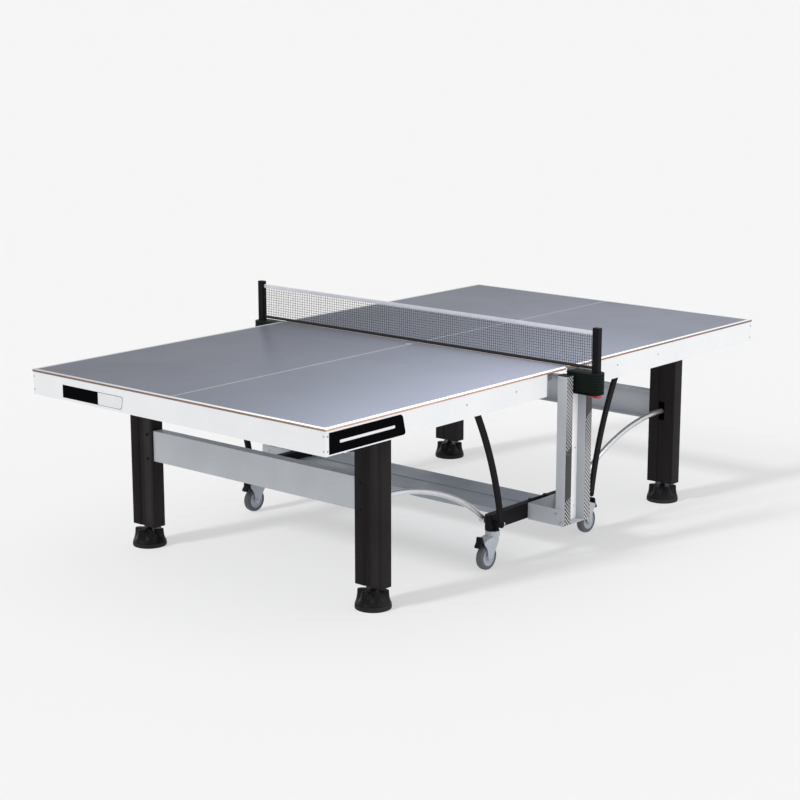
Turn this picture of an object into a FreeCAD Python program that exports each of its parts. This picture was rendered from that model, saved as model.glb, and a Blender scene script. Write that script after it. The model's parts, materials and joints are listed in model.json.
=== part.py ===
import FreeCAD, Part
import math
import os
from FreeCAD import Vector

# Folding ping pong table, millimetres. The origin is on the floor under the middle of the net,
# +X runs along the table towards the right half, +Y across it and +Z up.
# Each half is built on the right (+X) and near (-Y) side, then mirrored.

# --- playing surface and net ---
table_length = 2740.0
table_width = 1525.0
table_height = 760.0
net_height = 152.5
net_overhang = 152.5          # the net brackets' ends stand this far outside the surface
half_gap = 8.0                # from the middle of the net to a board's edge
board_t = 9.0
board_net_corner_r = 18.0
board_end_corner_r = 4.0

# --- rails under the boards ---
rail_h = 87.0
rail_t = 2.0
rail_lip = 1.0                # the board stands this far outside the rails
rail_flange = 25.0
rail_net_end = 115.0          # where the side rails end, from the middle of the net
rail_end_r = 35.0             # their rounded net end
corner_return = 16.0          # the end rail's return on the long side
corner_r = 6.0
seam_gap = 0.5

# --- welded subframe ---
tube_w = 40.0
tube_h = 23.0
tube_t = 2.0
tube_end_gap = 3.0
net_tube_x = 160.0            # centre of the cross tube nearest the net
mid_tube_x = 560.0
end_tube_inset = 220.0        # from the table's end to the outermost cross tube
stringer_side = 277.5         # from the table's side to a stringer's middle
stringer_w = 30.0
plate_t = 6.0
hinge_plate_side = 43.5
hinge_plate_h = 34.0
hinge_plate_r = 15.0

# --- fold pin and slide block ---
pin_x = 64.0
pin_depth = 30.0              # below the playing surface
pin_r = 5.0
pin_end_gap = 2.0             # from the pin's end to the post's wall
running_clearance = 0.05
body_clearance = 0.5
block_above_pin = 7.5
block_below_pin = 40.0
fold_clearance = 7.0          # under a folded board's edge, above the beams

# --- chassis ---
post_x = 64.0                 # post's middle, from the middle of the net
post_w = 42.0
post_d = 45.0
post_t = 2.5
post_side_gap = 7.5           # between the table's side and the post
post_top_drop = 22.0          # from the playing surface to the top of the post
cap_t = 3.0
web_t = 3.0
web_recess = 38.0             # from the post's front face to the web plate's
beam_h = 60.0
beam_w = 30.0
beam_t = 2.5
beam_side = 135.5             # from the table's side to a beam's middle
beam_half = 332.0
tray_half = 140.0
tray_t = 2.0
tray_drop = 35.0              # from the beams' top to the tray's top
tray_flange = 22.0
groove_w = 20.0
groove_depth = 4.0
bracket_t = 3.0
buffer_x = 48.0
buffer_r = 11.0
buffer_h = 6.0

# --- casters ---
caster_x = 293.0
housing_r = 25.0
wheel_to_housing = 30.0       # from the wheel's top to the housing
housing_h = 25.0              # from there to the beam
stem_r = 8.0
stem_h = 36.0
wheel_r = 50.0
wheel_w = 30.0
hub_w = 33.0
trail = 38.0                  # the axle is this far outward of the swivel axis
cheek_t = 4.0
cheek_gap = 1.0
axle_r = 5.0
boss_r = 13.0
crown_r = 22.0
crown_h = 9.0
pedal_back = 32.0             # the pedal's pin, from the swivel axis
pedal_drop = 14.0             # and under the housing
pedal_pin_r = 2.5
pedal_r = 5.5
pedal_t = 6.0
pedal_w = 26.0
pedal_len = 38.0
# the brake pad and the tab a foot presses: nearest and furthest from the swivel, then
# bottom and top above the wheel's top
pedal_pad = (70.0, 86.0, 4.0, 38.0)
pedal_tab = (82.0, 98.0, -6.0, 8.0)
crown_inset = 8.0             # the fork's front stands this far inside its crown
hood_reach = 72.0             # the fork's hood, from the swivel axis
hood_drop = 12.0
hood_lip = 10.0
cut_reach = 56.0              # where the hood's curved cut turns down to the axle
cut_rise = 34.0               # and how far above the axle it starts

# --- legs, crossbar and feet ---
leg_inset = 420.0             # from the table's end to a leg's middle
leg_side = 165.5              # from the table's side to a leg's middle
leg_w = 58.0
leg_d = 126.0
leg_t = 5.0
leg_bottom = 85.0
leg_top_gap = 6.0             # under the board
leg_groove = 30.0
leg_groove_depth = 2.5
leg_plate_t = 10.0
leg_pivot_offset = 75.0       # the shaft is this far towards the net from the leg's middle
leg_pivot_drop = 60.0         # and this far under the playing surface
shaft_r = 10.0
head_r = 21.0
head_t = 6.0
hanger_gap = 4.0
crossbar_z = 358.0
crossbar_h = 122.0
crossbar_w = 45.0
crossbar_t = 3.0
crossbar_recess = 8.0         # behind the leg's outer face
foot_r = 67.5
foot_base_h = 18.0
foot_h = 70.0
knob_top_r = 58.0
knob_flare_r = 66.0
scallop_count = 6
scallop_r = 20.0
foot_stem_r = 10.0
foot_pivot_r = 14.0
foot_pivot_h = 10.0

# --- arms and stays ---
arm_side = 90.5               # from the table's side to an arm's middle
arm_t = 12.0
arm_w = 25.0
arm_foot_x = 298.0
arm_foot_rise = 23.0          # above the beam's underside
arm_head_x = 482.0
arm_head_drop = 70.0          # under the playing surface
arm_bulge = -26.0             # of its middle away from the net
arm_pin_r = 6.0
lug_t = 4.0
lug_gap = 4.0                 # between an arm and its lug, half of it filled by a boss
stay_r = 11.0
stay_foot_x = 311.0
stay_foot_rise = 35.0
stay_head_z = 402.0
stay_head_depth = 4.0        # how far the stay's head stands inside the leg's face
stay_window = 80.0
stay_flat_run = 178.0         # the nearly level stretch beside the leg
stay_flat_drop = 12.0
stay_crown = [(0.394, 33.0), (0.805, 27.0)]   # share of the way down, rise above the straight line
stay_eye_r = 14.0
stay_pin_r = 6.0

# --- net, its posts, brackets and lever ---
net_bracket_half = 38.0
net_bracket_h = 98.0          # from the playing surface to the bracket's underside
net_bracket_top_drop = 4.0
net_bracket_wall = 4.0
net_bracket_roof = 14.0
net_post_w = 22.0
net_post_d = 28.0
net_post_rise = 13.0          # above the net's top
net_post_inset = 12.0         # from the bracket's end to the post
net_post_socket = 40.0
net_clearance = 3.0           # from the playing surface to the net's lower edge
net_t = 1.5
tape_t = 4.0
tape_h = 16.0
lever_hub_r = 7.0
lever_pin_r = 3.0
lever_t = 6.0
lever_len = 40.0

# --- fasteners ---
screw_r = 4.0
screw_h = 2.0
chassis_screw_h = 1.5
end_screw_h = 0.8
end_screw_inset = 9.0         # from the table's corner
end_screw_rise = 18.0         # from the rail's top and bottom edges
side_screw_x = (332.0, 626.0)
side_screw_drop = 36.0        # under the board
post_screw_drop = 18.0
beam_screw_offset = (34.0, 8.0)   # from an arm's foot, inward and down
base_screws = ((-14.0, 42.0), (12.0, 12.0))   # from the post's middle, and above the beam's underside

half_length = table_length / 2
half_width = table_width / 2
board_z = table_height - board_t
rail_z = board_z - rail_h
rail_y = half_width - rail_lip
rail_end_x = half_length - rail_lip
tube_z = board_z - rail_t - tube_h
pin_z = table_height - pin_depth
post_y0 = half_width + post_side_gap
post_y1 = post_y0 + post_d
wheel_top = 2 * wheel_r
housing_z = wheel_top + wheel_to_housing
beam_z = housing_z + housing_h
post_z0 = beam_z - post_t
post_z1 = table_height - post_top_drop
post_x0 = post_x - post_w / 2
post_x1 = post_x + post_w / 2
stringer_y = half_width - stringer_side
hinge_plate_y = half_width - hinge_plate_side
beam_y = half_width - beam_side
leg_y = half_width - leg_side
arm_y = half_width - arm_side
beam_top = beam_z + beam_h
arm_foot_z = beam_z + arm_foot_rise
stay_foot_z = beam_z + stay_foot_rise
folded_pin_z = beam_top + fold_clearance + pin_x - half_gap
leg_x = half_length - leg_inset
leg_x0 = leg_x - leg_w / 2
leg_x1 = leg_x + leg_w / 2
leg_top = board_z - leg_top_gap
leg_pivot_x = leg_x - leg_pivot_offset
leg_pivot_z = table_height - leg_pivot_drop
arm_head_z = table_height - arm_head_drop
net_y = half_width + net_overhang
net_post_y1 = net_y - net_post_inset
net_post_y0 = net_post_y1 - net_post_d
net_top = table_height + net_height
net_bracket_top = table_height - net_bracket_top_drop
net_bracket_z = table_height - net_bracket_h
web_y = post_y1 - web_recess


def box(x0, x1, y0, y1, z0, z1):
    return Part.makeBox(x1 - x0, y1 - y0, z1 - z0, Vector(x0, y0, z0))


def rod(x, y, z, r, length, axis):
    return Part.makeCylinder(r, length, Vector(x, y, z), Vector(*axis))


def upright(x, y, z0, z1, r):
    return rod(x, y, z0, r, z1 - z0, (0, 0, 1))


def across(x, z, y0, y1, r):
    return rod(x, y0, z, r, y1 - y0, (0, 1, 0))


def far(shape):
    return shape.mirror(Vector(0, 0, 0), Vector(0, 1, 0))


def left(shape):
    return shape.mirror(Vector(0, 0, 0), Vector(1, 0, 0))


def both_sides(shape):
    return [shape, far(shape)]


def round_edges(shape, r, chosen):
    edges = [e for e in shape.Edges if chosen(e)]
    return shape.makeFillet(r, edges)


def is_upright(edge):
    ends = [v.Point for v in edge.Vertexes]
    return len(ends) == 2 and abs(ends[0].x - ends[1].x) + abs(ends[0].y - ends[1].y) < 1e-6


def save(name, solids):
    shape = solids[0] if len(solids) == 1 else Part.makeCompound(solids)
    shape.exportStep("parts/" + name + ".step")
    print(name, len(shape.Solids), round(shape.Volume / 1000.0, 1), "cm3")


def save_pair(name, solids):
    save(name + "_right", solids)
    save(name + "_left", [left(s) for s in solids])


# ---------------------------------------------------------------- boards and rails

def board():
    slab = box(half_gap, half_length, -half_width, half_width, board_z, table_height)
    slab = round_edges(slab, board_net_corner_r, lambda e: is_upright(e) and e.CenterOfMass.x < pin_x)
    return round_edges(slab, board_end_corner_r, lambda e: is_upright(e) and e.CenterOfMass.x > leg_x)


def side_rail():
    x1 = rail_end_x - corner_return - seam_gap
    x0 = rail_net_end + rail_end_r
    y = -rail_y
    web = box(x0, x1, y, y + rail_t, rail_z, board_z)
    top = box(x0, x1, y, y + rail_flange, board_z - rail_t, board_z)
    foot = box(x0, x1, y, y + rail_flange, rail_z, rail_z + rail_t)
    bend = upright(x0, y + rail_end_r, rail_z, board_z, rail_end_r)
    bend = bend.cut(upright(x0, y + rail_end_r, rail_z, board_z, rail_end_r - rail_t))
    quarter = box(rail_net_end, x0, y, y + rail_end_r, rail_z, board_z)
    return web.fuse([top, foot, bend.common(quarter)]).removeSplitter()


def end_rail():
    x1 = rail_end_x
    x0 = x1 - corner_return
    outer = box(x0, x1, -rail_y, rail_y, rail_z, board_z)
    outer = round_edges(outer, corner_r, lambda e: is_upright(e) and e.CenterOfMass.x > x1 - 1)
    inner = box(x0, x1 - rail_t, -rail_y + rail_t, rail_y - rail_t, rail_z, board_z)
    inner = round_edges(inner, corner_r - rail_t, lambda e: is_upright(e) and e.CenterOfMass.x > x1 - 3)
    shell = outer.cut(inner)
    flange_y = rail_y - rail_flange - seam_gap
    for z in (rail_z, board_z - rail_t):
        shell = shell.fuse(box(x1 - rail_flange, x1 - rail_t, -flange_y, flange_y, z, z + rail_t))
    return shell.removeSplitter()


def tube_along_y(x, half):
    outer = box(x - tube_w / 2, x + tube_w / 2, -half, half, tube_z, tube_z + tube_h)
    inner = box(x - tube_w / 2 + tube_t, x + tube_w / 2 - tube_t, -half + tube_t, half - tube_t,
                tube_z + tube_t, tube_z + tube_h - tube_t)
    return outer.cut(inner)


def tube_places():
    return [net_tube_x, mid_tube_x, leg_pivot_x, half_length - end_tube_inset]


def stringers():
    y0 = -stringer_y - stringer_w / 2
    y1 = y0 + stringer_w
    places = tube_places()
    bars = []
    for a, b in zip(places, places[1:]):
        x0 = a + tube_w / 2
        x1 = b - tube_w / 2
        bar = box(x0, x1, y0, y1, tube_z, tube_z + tube_h)
        core = box(x0, x1, y0 + tube_t, y1 - tube_t, tube_z + tube_t, tube_z + tube_h - tube_t)
        bars.append(bar.cut(core))
    return bars


def hinge_plate():
    y0 = -hinge_plate_y - plate_t / 2
    y1 = y0 + plate_t
    top = pin_z + hinge_plate_r
    plate = box(pin_x, net_tube_x - tube_w / 2, y0, y1, top - hinge_plate_h, top)
    nose = across(pin_x, pin_z, y0, y1, hinge_plate_r)
    pin = across(pin_x, pin_z, -post_y1 + post_t + pin_end_gap, y0, pin_r)
    return plate.fuse([nose, pin])


def shaft_hangers():
    hangers = []
    for y in (-leg_y - leg_d / 2 - hanger_gap - plate_t, -leg_y + leg_d / 2 + hanger_gap):
        plate = box(leg_pivot_x - head_r, leg_pivot_x + head_r, y, y + plate_t, leg_pivot_z, tube_z)
        plate = plate.fuse(across(leg_pivot_x, leg_pivot_z, y, y + plate_t, head_r))
        hangers.append(plate.cut(across(leg_pivot_x, leg_pivot_z, y, y + plate_t, shaft_r)))
    return hangers


def arm_lug():
    y0 = -arm_y + arm_t / 2 + lug_gap
    y1 = y0 + lug_t
    plate = box(arm_head_x - arm_w, mid_tube_x - tube_w / 2, y0, y1, arm_head_z - arm_w / 2, tube_z + tube_h)
    boss_h = lug_gap / 2
    return plate.fuse(across(arm_head_x, arm_head_z, y0 - boss_h, y0, arm_w / 2 - 1.0))


def subframe():
    half = rail_y - rail_t - tube_end_gap
    solids = [tube_along_y(x, half) for x in tube_places()]
    for part in stringers() + shaft_hangers() + [hinge_plate(), arm_lug()]:
        solids += both_sides(part)
    return solids


def leg_shaft():
    half = leg_y + leg_d / 2 + hanger_gap + plate_t + 6.0
    shaft = across(leg_pivot_x, leg_pivot_z, -half, half, shaft_r)
    collar_h = 4.0
    for y in (-half - collar_h, half):
        shaft = shaft.fuse(across(leg_pivot_x, leg_pivot_z, y, y + collar_h, shaft_r + 4.0))
    return shaft


def side_screw(x, z):
    return rod(x, -rail_y, z, screw_r, screw_h, (0, -1, 0))


def rail_screws():
    solids = []
    for x in side_screw_x:
        solids += both_sides(side_screw(x, board_z - side_screw_drop))
    for z in (board_z - end_screw_rise, rail_z + end_screw_rise):
        solids += both_sides(side_screw(rail_end_x - end_screw_inset, z))
        for y in (-rail_y + end_screw_inset, rail_y - end_screw_inset):
            solids.append(rod(rail_end_x, y, z, screw_r, end_screw_h, (1, 0, 0)))
    return solids


# ---------------------------------------------------------------- chassis

def post():
    outer = box(post_x0, post_x1, -post_y1, -post_y0, post_z0, post_z1)
    outer = round_edges(outer, 3.0, is_upright)
    inner = box(post_x0 + post_t, post_x1 - post_t, -post_y1 + post_t, -post_y0 - post_t, post_z0, post_z1)
    slot_half = pin_r + body_clearance
    slot = box(pin_x - slot_half, pin_x + slot_half, -post_y0 - post_t, -post_y0,
               folded_pin_z - pin_r - 3.0, post_z1)
    return outer.cut(inner).cut(slot)


def post_cap():
    cap = box(post_x0, post_x1, -post_y1, -post_y0, post_z1, post_z1 + cap_t)
    return round_edges(cap, 3.0, is_upright)


def web_plate():
    plate = box(-post_x0, post_x0, -web_y, -web_y + web_t, post_z0, post_z1 - 6.0)
    hole_z = [post_z0 + 60.0, (post_z0 + post_z1) / 2, net_bracket_z - 40.0]
    for z in hole_z:
        plate = plate.cut(rod(0, -web_y, z, 3.0, web_t, (0, 1, 0)))
    return plate


def beam():
    y0 = -beam_y - beam_w / 2
    y1 = y0 + beam_w
    straight = beam_half - beam_w / 2
    bar = box(-straight, straight, y0, y1, beam_z, beam_top)
    solid_end = caster_x - housing_r - 10.0
    core = box(-solid_end, solid_end, y0 + beam_t, y1 - beam_t, beam_z + beam_t, beam_top - beam_t)
    bar = bar.cut(core)
    for x in (-straight, straight):
        bar = bar.fuse(upright(x, -beam_y, beam_z, beam_top, beam_w / 2))
    for x in (-caster_x, caster_x):
        bar = bar.fuse(upright(x, -beam_y, housing_z, beam_z, housing_r))
        bar = bar.cut(upright(x, -beam_y, housing_z, housing_z + stem_h + 2.0, stem_r + running_clearance))
    return bar


def beam_with_pivots():
    bar = beam()
    y0 = -beam_y - beam_w / 2
    y1 = y0 + beam_w
    arm_out = -arm_y - arm_t / 2 - 3.0
    stay_in = -leg_y + stay_r + 3.0
    for side in (-1, 1):
        x = side * arm_foot_x
        boss = across(x, arm_foot_z, -arm_y + arm_t / 2 + body_clearance, y0, arm_w / 2)
        pin = across(x, arm_foot_z, arm_out, y0, arm_pin_r)
        bar = bar.fuse([boss, pin])
        x = side * stay_foot_x
        bar = bar.fuse(across(x, stay_foot_z, y1, stay_in, stay_pin_r))
    return bar.removeSplitter()


def centre_tray():
    half_y = beam_y - beam_w / 2
    z1 = beam_top - tray_drop
    tray = box(-tray_half, tray_half, -half_y, half_y, z1 - tray_t, z1)
    g = groove_w / 2
    tray = tray.cut(box(-g, g, -half_y, half_y, z1 - tray_t, z1))
    z0 = z1 - groove_depth - tray_t
    groove = box(-g - tray_t, g + tray_t, -half_y, half_y, z0, z1)
    groove = groove.cut(box(-g, g, -half_y, half_y, z0 + tray_t, z1))
    sides = (-tray_half, tray_half - tray_t)
    flanges = [box(x, x + tray_t, -half_y, half_y, z1 - tray_flange, z1) for x in sides]
    return tray.fuse([groove] + flanges).removeSplitter()


def base_bracket():
    x1 = post_x1 + bracket_t
    y1 = -beam_y - beam_w / 2
    z0 = post_z0 - bracket_t
    outer = box(-x1, x1, -post_y1, y1, z0, beam_top)
    inner = box(-post_x1, post_x1, -post_y1, y1 - bracket_t, post_z0, beam_top)
    return outer.cut(inner)


def stop_buffers():
    solids = []
    for x in (-buffer_x, buffer_x):
        solids += both_sides(upright(x, -beam_y, beam_top, beam_top + buffer_h, buffer_r))
    return solids


def chassis_bolts():
    solids = []
    y_mid = (post_y0 + post_y1) / 2
    inward, down = beam_screw_offset
    for side in (-1, 1):
        out = (side, 0, 0)
        post_screw = rod(side * post_x1, -y_mid, post_z1 - post_screw_drop, screw_r, chassis_screw_h, out)
        solids += both_sides(post_screw)
        for dy, rise in base_screws:
            plate_face = side * (post_x1 + bracket_t)
            solids += both_sides(rod(plate_face, -y_mid - dy, beam_z + rise, screw_r, chassis_screw_h, out))
        x = side * (arm_foot_x - inward)
        y = -beam_y - beam_w / 2
        solids += both_sides(rod(x, y, arm_foot_z - down, screw_r, chassis_screw_h, (0, -1, 0)))
    return solids


# ---------------------------------------------------------------- fold slide block

def slide_block():
    gap = body_clearance
    x0 = post_x0 + post_t + gap
    x1 = post_x1 - post_t - gap
    y0 = -post_y1 + post_t + gap
    y1 = -post_y0 - post_t - gap
    block = box(x0, x1, y0, y1, pin_z - block_below_pin, pin_z + block_above_pin)
    return block.cut(across(pin_x, pin_z, y0, y1, pin_r + running_clearance))


# ---------------------------------------------------------------- legs

def leg():
    y0 = -leg_y - leg_d / 2
    y1 = y0 + leg_d
    outer = round_edges(box(leg_x0, leg_x1, y0, y1, leg_bottom, leg_top), 3.0, is_upright)
    inner = box(leg_x0 + leg_t, leg_x1 - leg_t, y0 + leg_t, y1 - leg_t, leg_bottom + leg_plate_t, leg_top)
    tube = outer.cut(inner)
    g0 = -leg_y - leg_groove / 2
    g1 = g0 + leg_groove
    tube = tube.cut(box(leg_x0, leg_x0 + leg_groove_depth, g0, g1, leg_bottom, leg_top))
    tube = tube.cut(box(leg_x1 - leg_groove_depth, leg_x1, g0, g1, leg_bottom, leg_top))
    window_z = stay_head_z - stay_window / 2
    tube = tube.cut(box(leg_x0, leg_x0 + leg_t, g0, g1, window_z, window_z + stay_window))
    heads = []
    for y in (y0, y1 - head_t):
        arm = box(leg_pivot_x, leg_x0 + leg_t, y, y + head_t, leg_pivot_z - head_r, leg_pivot_z + head_r)
        heads += [arm, across(leg_pivot_x, leg_pivot_z, y, y + head_t, head_r)]
    tube = tube.fuse(heads)
    tube = tube.cut(across(leg_pivot_x, leg_pivot_z, y0, y1, shaft_r + running_clearance))
    stem_hole = upright(leg_x, -leg_y, leg_bottom, leg_bottom + leg_plate_t, foot_stem_r + body_clearance)
    return tube.cut(stem_hole).removeSplitter()


def crossbar():
    x1 = leg_x1 - crossbar_recess
    x0 = x1 - crossbar_w
    half = leg_y - leg_d / 2
    z1 = crossbar_z + crossbar_h
    outer = box(x0, x1, -half, half, crossbar_z, z1)
    t = crossbar_t
    inner = box(x0, x1 - t, -half + t, half - t, crossbar_z + t, z1 - t)
    return outer.cut(inner)


def foot_base():
    base = upright(leg_x, -leg_y, 0, foot_base_h, foot_r)
    base = base.makeChamfer(3.0, [e for e in base.Edges if e.CenterOfMass.z < 1 and e.Length > foot_r])
    socket_z = foot_base_h - foot_pivot_h
    socket = upright(leg_x, -leg_y, socket_z, foot_base_h, foot_pivot_r + running_clearance)
    return base.cut(socket)


def foot_knob():
    gap = 0.3
    z0 = foot_base_h + gap
    start = Vector(leg_x + knob_flare_r, -leg_y, z0)
    end = Vector(leg_x + knob_top_r, -leg_y, foot_h)
    middle = Vector(leg_x + knob_top_r - 0.5, -leg_y, z0 + (foot_h - z0) * 0.6)
    flare = Part.Arc(start, middle, end).toShape()
    corners = [end, Vector(leg_x, -leg_y, foot_h), Vector(leg_x, -leg_y, z0), start]
    edges = [flare] + [Part.makeLine(a, b) for a, b in zip(corners, corners[1:])]
    knob = Part.Face(Part.Wire(edges)).revolve(Vector(leg_x, -leg_y, 0), Vector(0, 0, 1), 360)
    for i in range(scallop_count):
        angle = 2 * math.pi * i / scallop_count
        reach = knob_flare_r - 2.0
        foot = Vector(leg_x + reach * math.cos(angle), -leg_y + reach * math.sin(angle), z0 + 4.0)
        knob = knob.cut(Part.makeCone(1.0, scallop_r, foot_h - z0 - 4.0, foot, Vector(0, 0, 1)))
    stem = upright(leg_x, -leg_y, foot_h - 5.0, leg_bottom + leg_plate_t + 45.0, foot_stem_r)
    pivot = upright(leg_x, -leg_y, foot_base_h - foot_pivot_h + gap, z0 + 5.0, foot_pivot_r)
    return knob.fuse([stem, pivot])


# ---------------------------------------------------------------- casters

def axle_place():
    return caster_x + trail, wheel_r


def pedal_place():
    return caster_x + pedal_back, housing_z - pedal_drop


def fork_outline(y0):
    ax, az = axle_place()
    top = housing_z - body_clearance
    front = caster_x - crown_r + crown_inset
    reach = caster_x + hood_reach
    hood_z = top - hood_drop
    hood = [(front, top), (caster_x + crown_r, top), (reach, hood_z), (reach, hood_z - hood_lip)]
    cut = [(caster_x + cut_reach, az + cut_rise), (ax + boss_r, az)]
    back = [(ax - boss_r, az), (front, top - 3 * hood_lip)]
    return [Vector(x, y0, z) for x, z in hood + cut + back]


def caster_fork():
    x, y = caster_x, -beam_y
    ax, az = axle_place()
    px, pz = pedal_place()
    top = housing_z - body_clearance
    inner = hub_w / 2 + cheek_gap
    outer = inner + cheek_t
    crown = upright(x, y, top - crown_h, top, crown_r)
    parts = [upright(x, y, top - crown_h, housing_z + stem_h, stem_r)]
    for y0 in (y - outer, y + inner):
        outline = fork_outline(y0)
        cheek = Part.Face(Part.makePolygon(outline + outline[:1])).extrude(Vector(0, cheek_t, 0))
        parts += [cheek, across(ax, az, y0, y0 + cheek_t, boss_r)]
    parts.append(box(x - crown_r + crown_inset, x + crown_r, y - outer, y + outer, top - crown_h, top))
    parts.append(across(ax, az, y - outer, y + outer, axle_r))
    parts.append(across(px, pz, y - outer, y + outer, pedal_pin_r))
    return crown.fuse(parts).removeSplitter()


def wheel():
    y = -beam_y
    ax, az = axle_place()
    tyre = across(ax, az, y - wheel_w / 2, y + wheel_w / 2, wheel_r)
    tyre = tyre.makeFillet(7.0, [e for e in tyre.Edges if e.Length > wheel_r])
    hub = across(ax, az, y - hub_w / 2, y + hub_w / 2, wheel_r * 0.3)
    return tyre.fuse(hub).cut(across(ax, az, y - hub_w / 2, y + hub_w / 2, axle_r + running_clearance))


def brake_pedal():
    y = -beam_y
    px, pz = pedal_place()
    half = pedal_w / 2
    hub = across(px, pz, y - half, y + half, pedal_r)
    plate = box(px, px + pedal_len + pedal_t, y - half, y + half, pz - pedal_t / 2, pz + pedal_t / 2)
    pads = [box(caster_x + x0, caster_x + x1, y - half, y + half, wheel_top + z0, wheel_top + z1)
            for x0, x1, z0, z1 in (pedal_pad, pedal_tab)]
    bore = across(px, pz, y - half, y + half, pedal_pin_r + running_clearance)
    return hub.fuse([plate] + pads).cut(bore)


# ---------------------------------------------------------------- arms and stays

def arm():
    foot = Vector(arm_foot_x, 0, arm_foot_z)
    head = Vector(arm_head_x, 0, arm_head_z)
    along = (head - foot).normalize()
    normal = Vector(-along.z, 0, along.x)
    middle = (foot + head) * 0.5 - normal * arm_bulge
    half = arm_w / 2
    hub = Part.Arc(foot, middle, head).toShape().Curve.Center
    spread = Vector(0, -arm_y - arm_t / 2, 0)

    def offset(point, distance):
        out = (point - hub).normalize()
        return point + out * distance + spread

    def end_cap(point):
        out = (point - hub).normalize()
        tangent = Vector(-out.z, 0, out.x)
        if tangent.dot(point - middle) < 0:
            tangent = tangent * -1
        return Part.Arc(offset(point, half), point + tangent * half + spread, offset(point, -half)).toShape()

    sides = [Part.Arc(*[offset(p, d) for p in (foot, middle, head)]).toShape() for d in (half, -half)]
    outline = Part.Wire(Part.__sortEdges__(sides + [end_cap(foot), end_cap(head)]))
    bar = Part.Face(outline).extrude(Vector(0, arm_t, 0))
    y0 = -arm_y - arm_t / 2
    return bar.cut(across(foot.x, foot.z, y0, y0 + arm_t, arm_pin_r + running_clearance))


def stay():
    head_x = leg_x0 + stay_head_depth
    level = Vector(head_x - stay_flat_run, -leg_y, stay_head_z - stay_flat_drop)
    head = Vector(head_x, -leg_y, stay_head_z)
    foot = Vector(stay_foot_x, -leg_y, stay_foot_z)
    path = Part.BSplineCurve()
    crown = [level + (foot - level) * share + Vector(0, 0, rise) for share, rise in stay_crown]
    path.interpolate([head, level] + crown + [foot])
    wire = Part.Wire([path.toShape()])
    direction = path.tangent(path.FirstParameter)[0]
    ring = Part.Wire([Part.makeCircle(stay_r, head, direction)])
    tube = wire.makePipeShell([ring], True, False)
    y0 = -leg_y - stay_r
    tube = tube.fuse(across(foot.x, foot.z, y0, y0 + 2 * stay_r, stay_eye_r))
    return tube.cut(across(foot.x, foot.z, y0, y0 + 2 * stay_r, stay_pin_r + running_clearance))


# ---------------------------------------------------------------- net

def net_bracket():
    half = net_bracket_half
    y_round = -net_y + half
    outer = box(-half, half, y_round, -web_y, net_bracket_z, net_bracket_top)
    outer = outer.fuse(upright(0, y_round, net_bracket_z, net_bracket_top, half)).removeSplitter()
    w = net_bracket_wall
    roof_z = net_bracket_top - net_bracket_roof
    pocket = box(-half + w, half - w, y_round, -web_y - w, net_bracket_z, roof_z)
    pocket = pocket.fuse(upright(0, y_round, net_bracket_z, roof_z, half - w)).removeSplitter()
    shell = outer.cut(pocket)
    socket = net_post_box(net_bracket_top - net_post_socket)
    sleeve_wall = 4.0
    sleeve = box(-net_post_w / 2 - sleeve_wall, net_post_w / 2 + sleeve_wall, -net_post_y1 - sleeve_wall,
                 -net_post_y0 + sleeve_wall, net_bracket_top - net_post_socket, net_bracket_top)
    shell = shell.fuse(sleeve.common(outer)).cut(socket)
    pin = rod(-half + w, lever_y(), lever_z(), lever_pin_r, 2 * (half - w), (1, 0, 0))
    return shell.fuse(pin).removeSplitter()


def lever_y():
    return -net_y + net_bracket_half + 8.0


def lever_z():
    return net_bracket_z + 12.0


def net_post_box(z0):
    return box(-net_post_w / 2, net_post_w / 2, -net_post_y1, -net_post_y0, z0, net_top + net_post_rise)


def net_post():
    return round_edges(net_post_box(net_bracket_top - net_post_socket), 1.5,
                       lambda e: not is_upright(e) and e.CenterOfMass.z > net_top)


def net_mesh():
    half = net_post_y0
    return box(-net_t / 2, net_t / 2, -half, half, table_height + net_clearance, net_top - tape_h)


def net_tape():
    half = net_post_y0
    return box(-tape_t / 2, tape_t / 2, -half, half, net_top - tape_h, net_top)


def lock_lever():
    y = lever_y()
    z = lever_z()
    w = net_post_w / 2 + 7.0
    hub = rod(-w, y, z, lever_hub_r, 2 * w, (1, 0, 0))
    plate = box(-w, w, y - lever_len, y, net_bracket_z - lever_t - 1.0, net_bracket_z - 1.0)
    neck = box(-w, w, y - lever_hub_r, y + lever_hub_r, net_bracket_z - lever_t - 1.0, z)
    lever = hub.fuse([plate, neck]).removeSplitter()
    return lever.cut(rod(-w, y, z, lever_pin_r + running_clearance, 2 * w, (1, 0, 0)))


# ---------------------------------------------------------------- writing the sub-parts

def save_halves():
    save_pair("board", [board()])
    save_pair("side_rails", both_sides(side_rail()))
    save_pair("end_rail", [end_rail()])
    save_pair("subframe", subframe())
    save_pair("leg_shaft", [leg_shaft()])
    save_pair("rail_screws", rail_screws())
    save_pair("crossbar", [crossbar()])
    save_pair("slide_blocks", both_sides(slide_block()))
    save_pair("arms", both_sides(arm()))
    save_pair("stays", both_sides(stay()))
    for name, shape in {"leg": leg(), "foot_base": foot_base(), "foot_knob": foot_knob()}.items():
        save_pair(name + "_near", [shape])
        save_pair(name + "_far", [far(shape)])


def save_casters():
    pieces = {"caster_fork": caster_fork(), "wheel": wheel(), "brake_pedal": brake_pedal()}
    for name, shape in pieces.items():
        save_pair(name + "_near", [shape])
        save_pair(name + "_far", [far(shape)])


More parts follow.
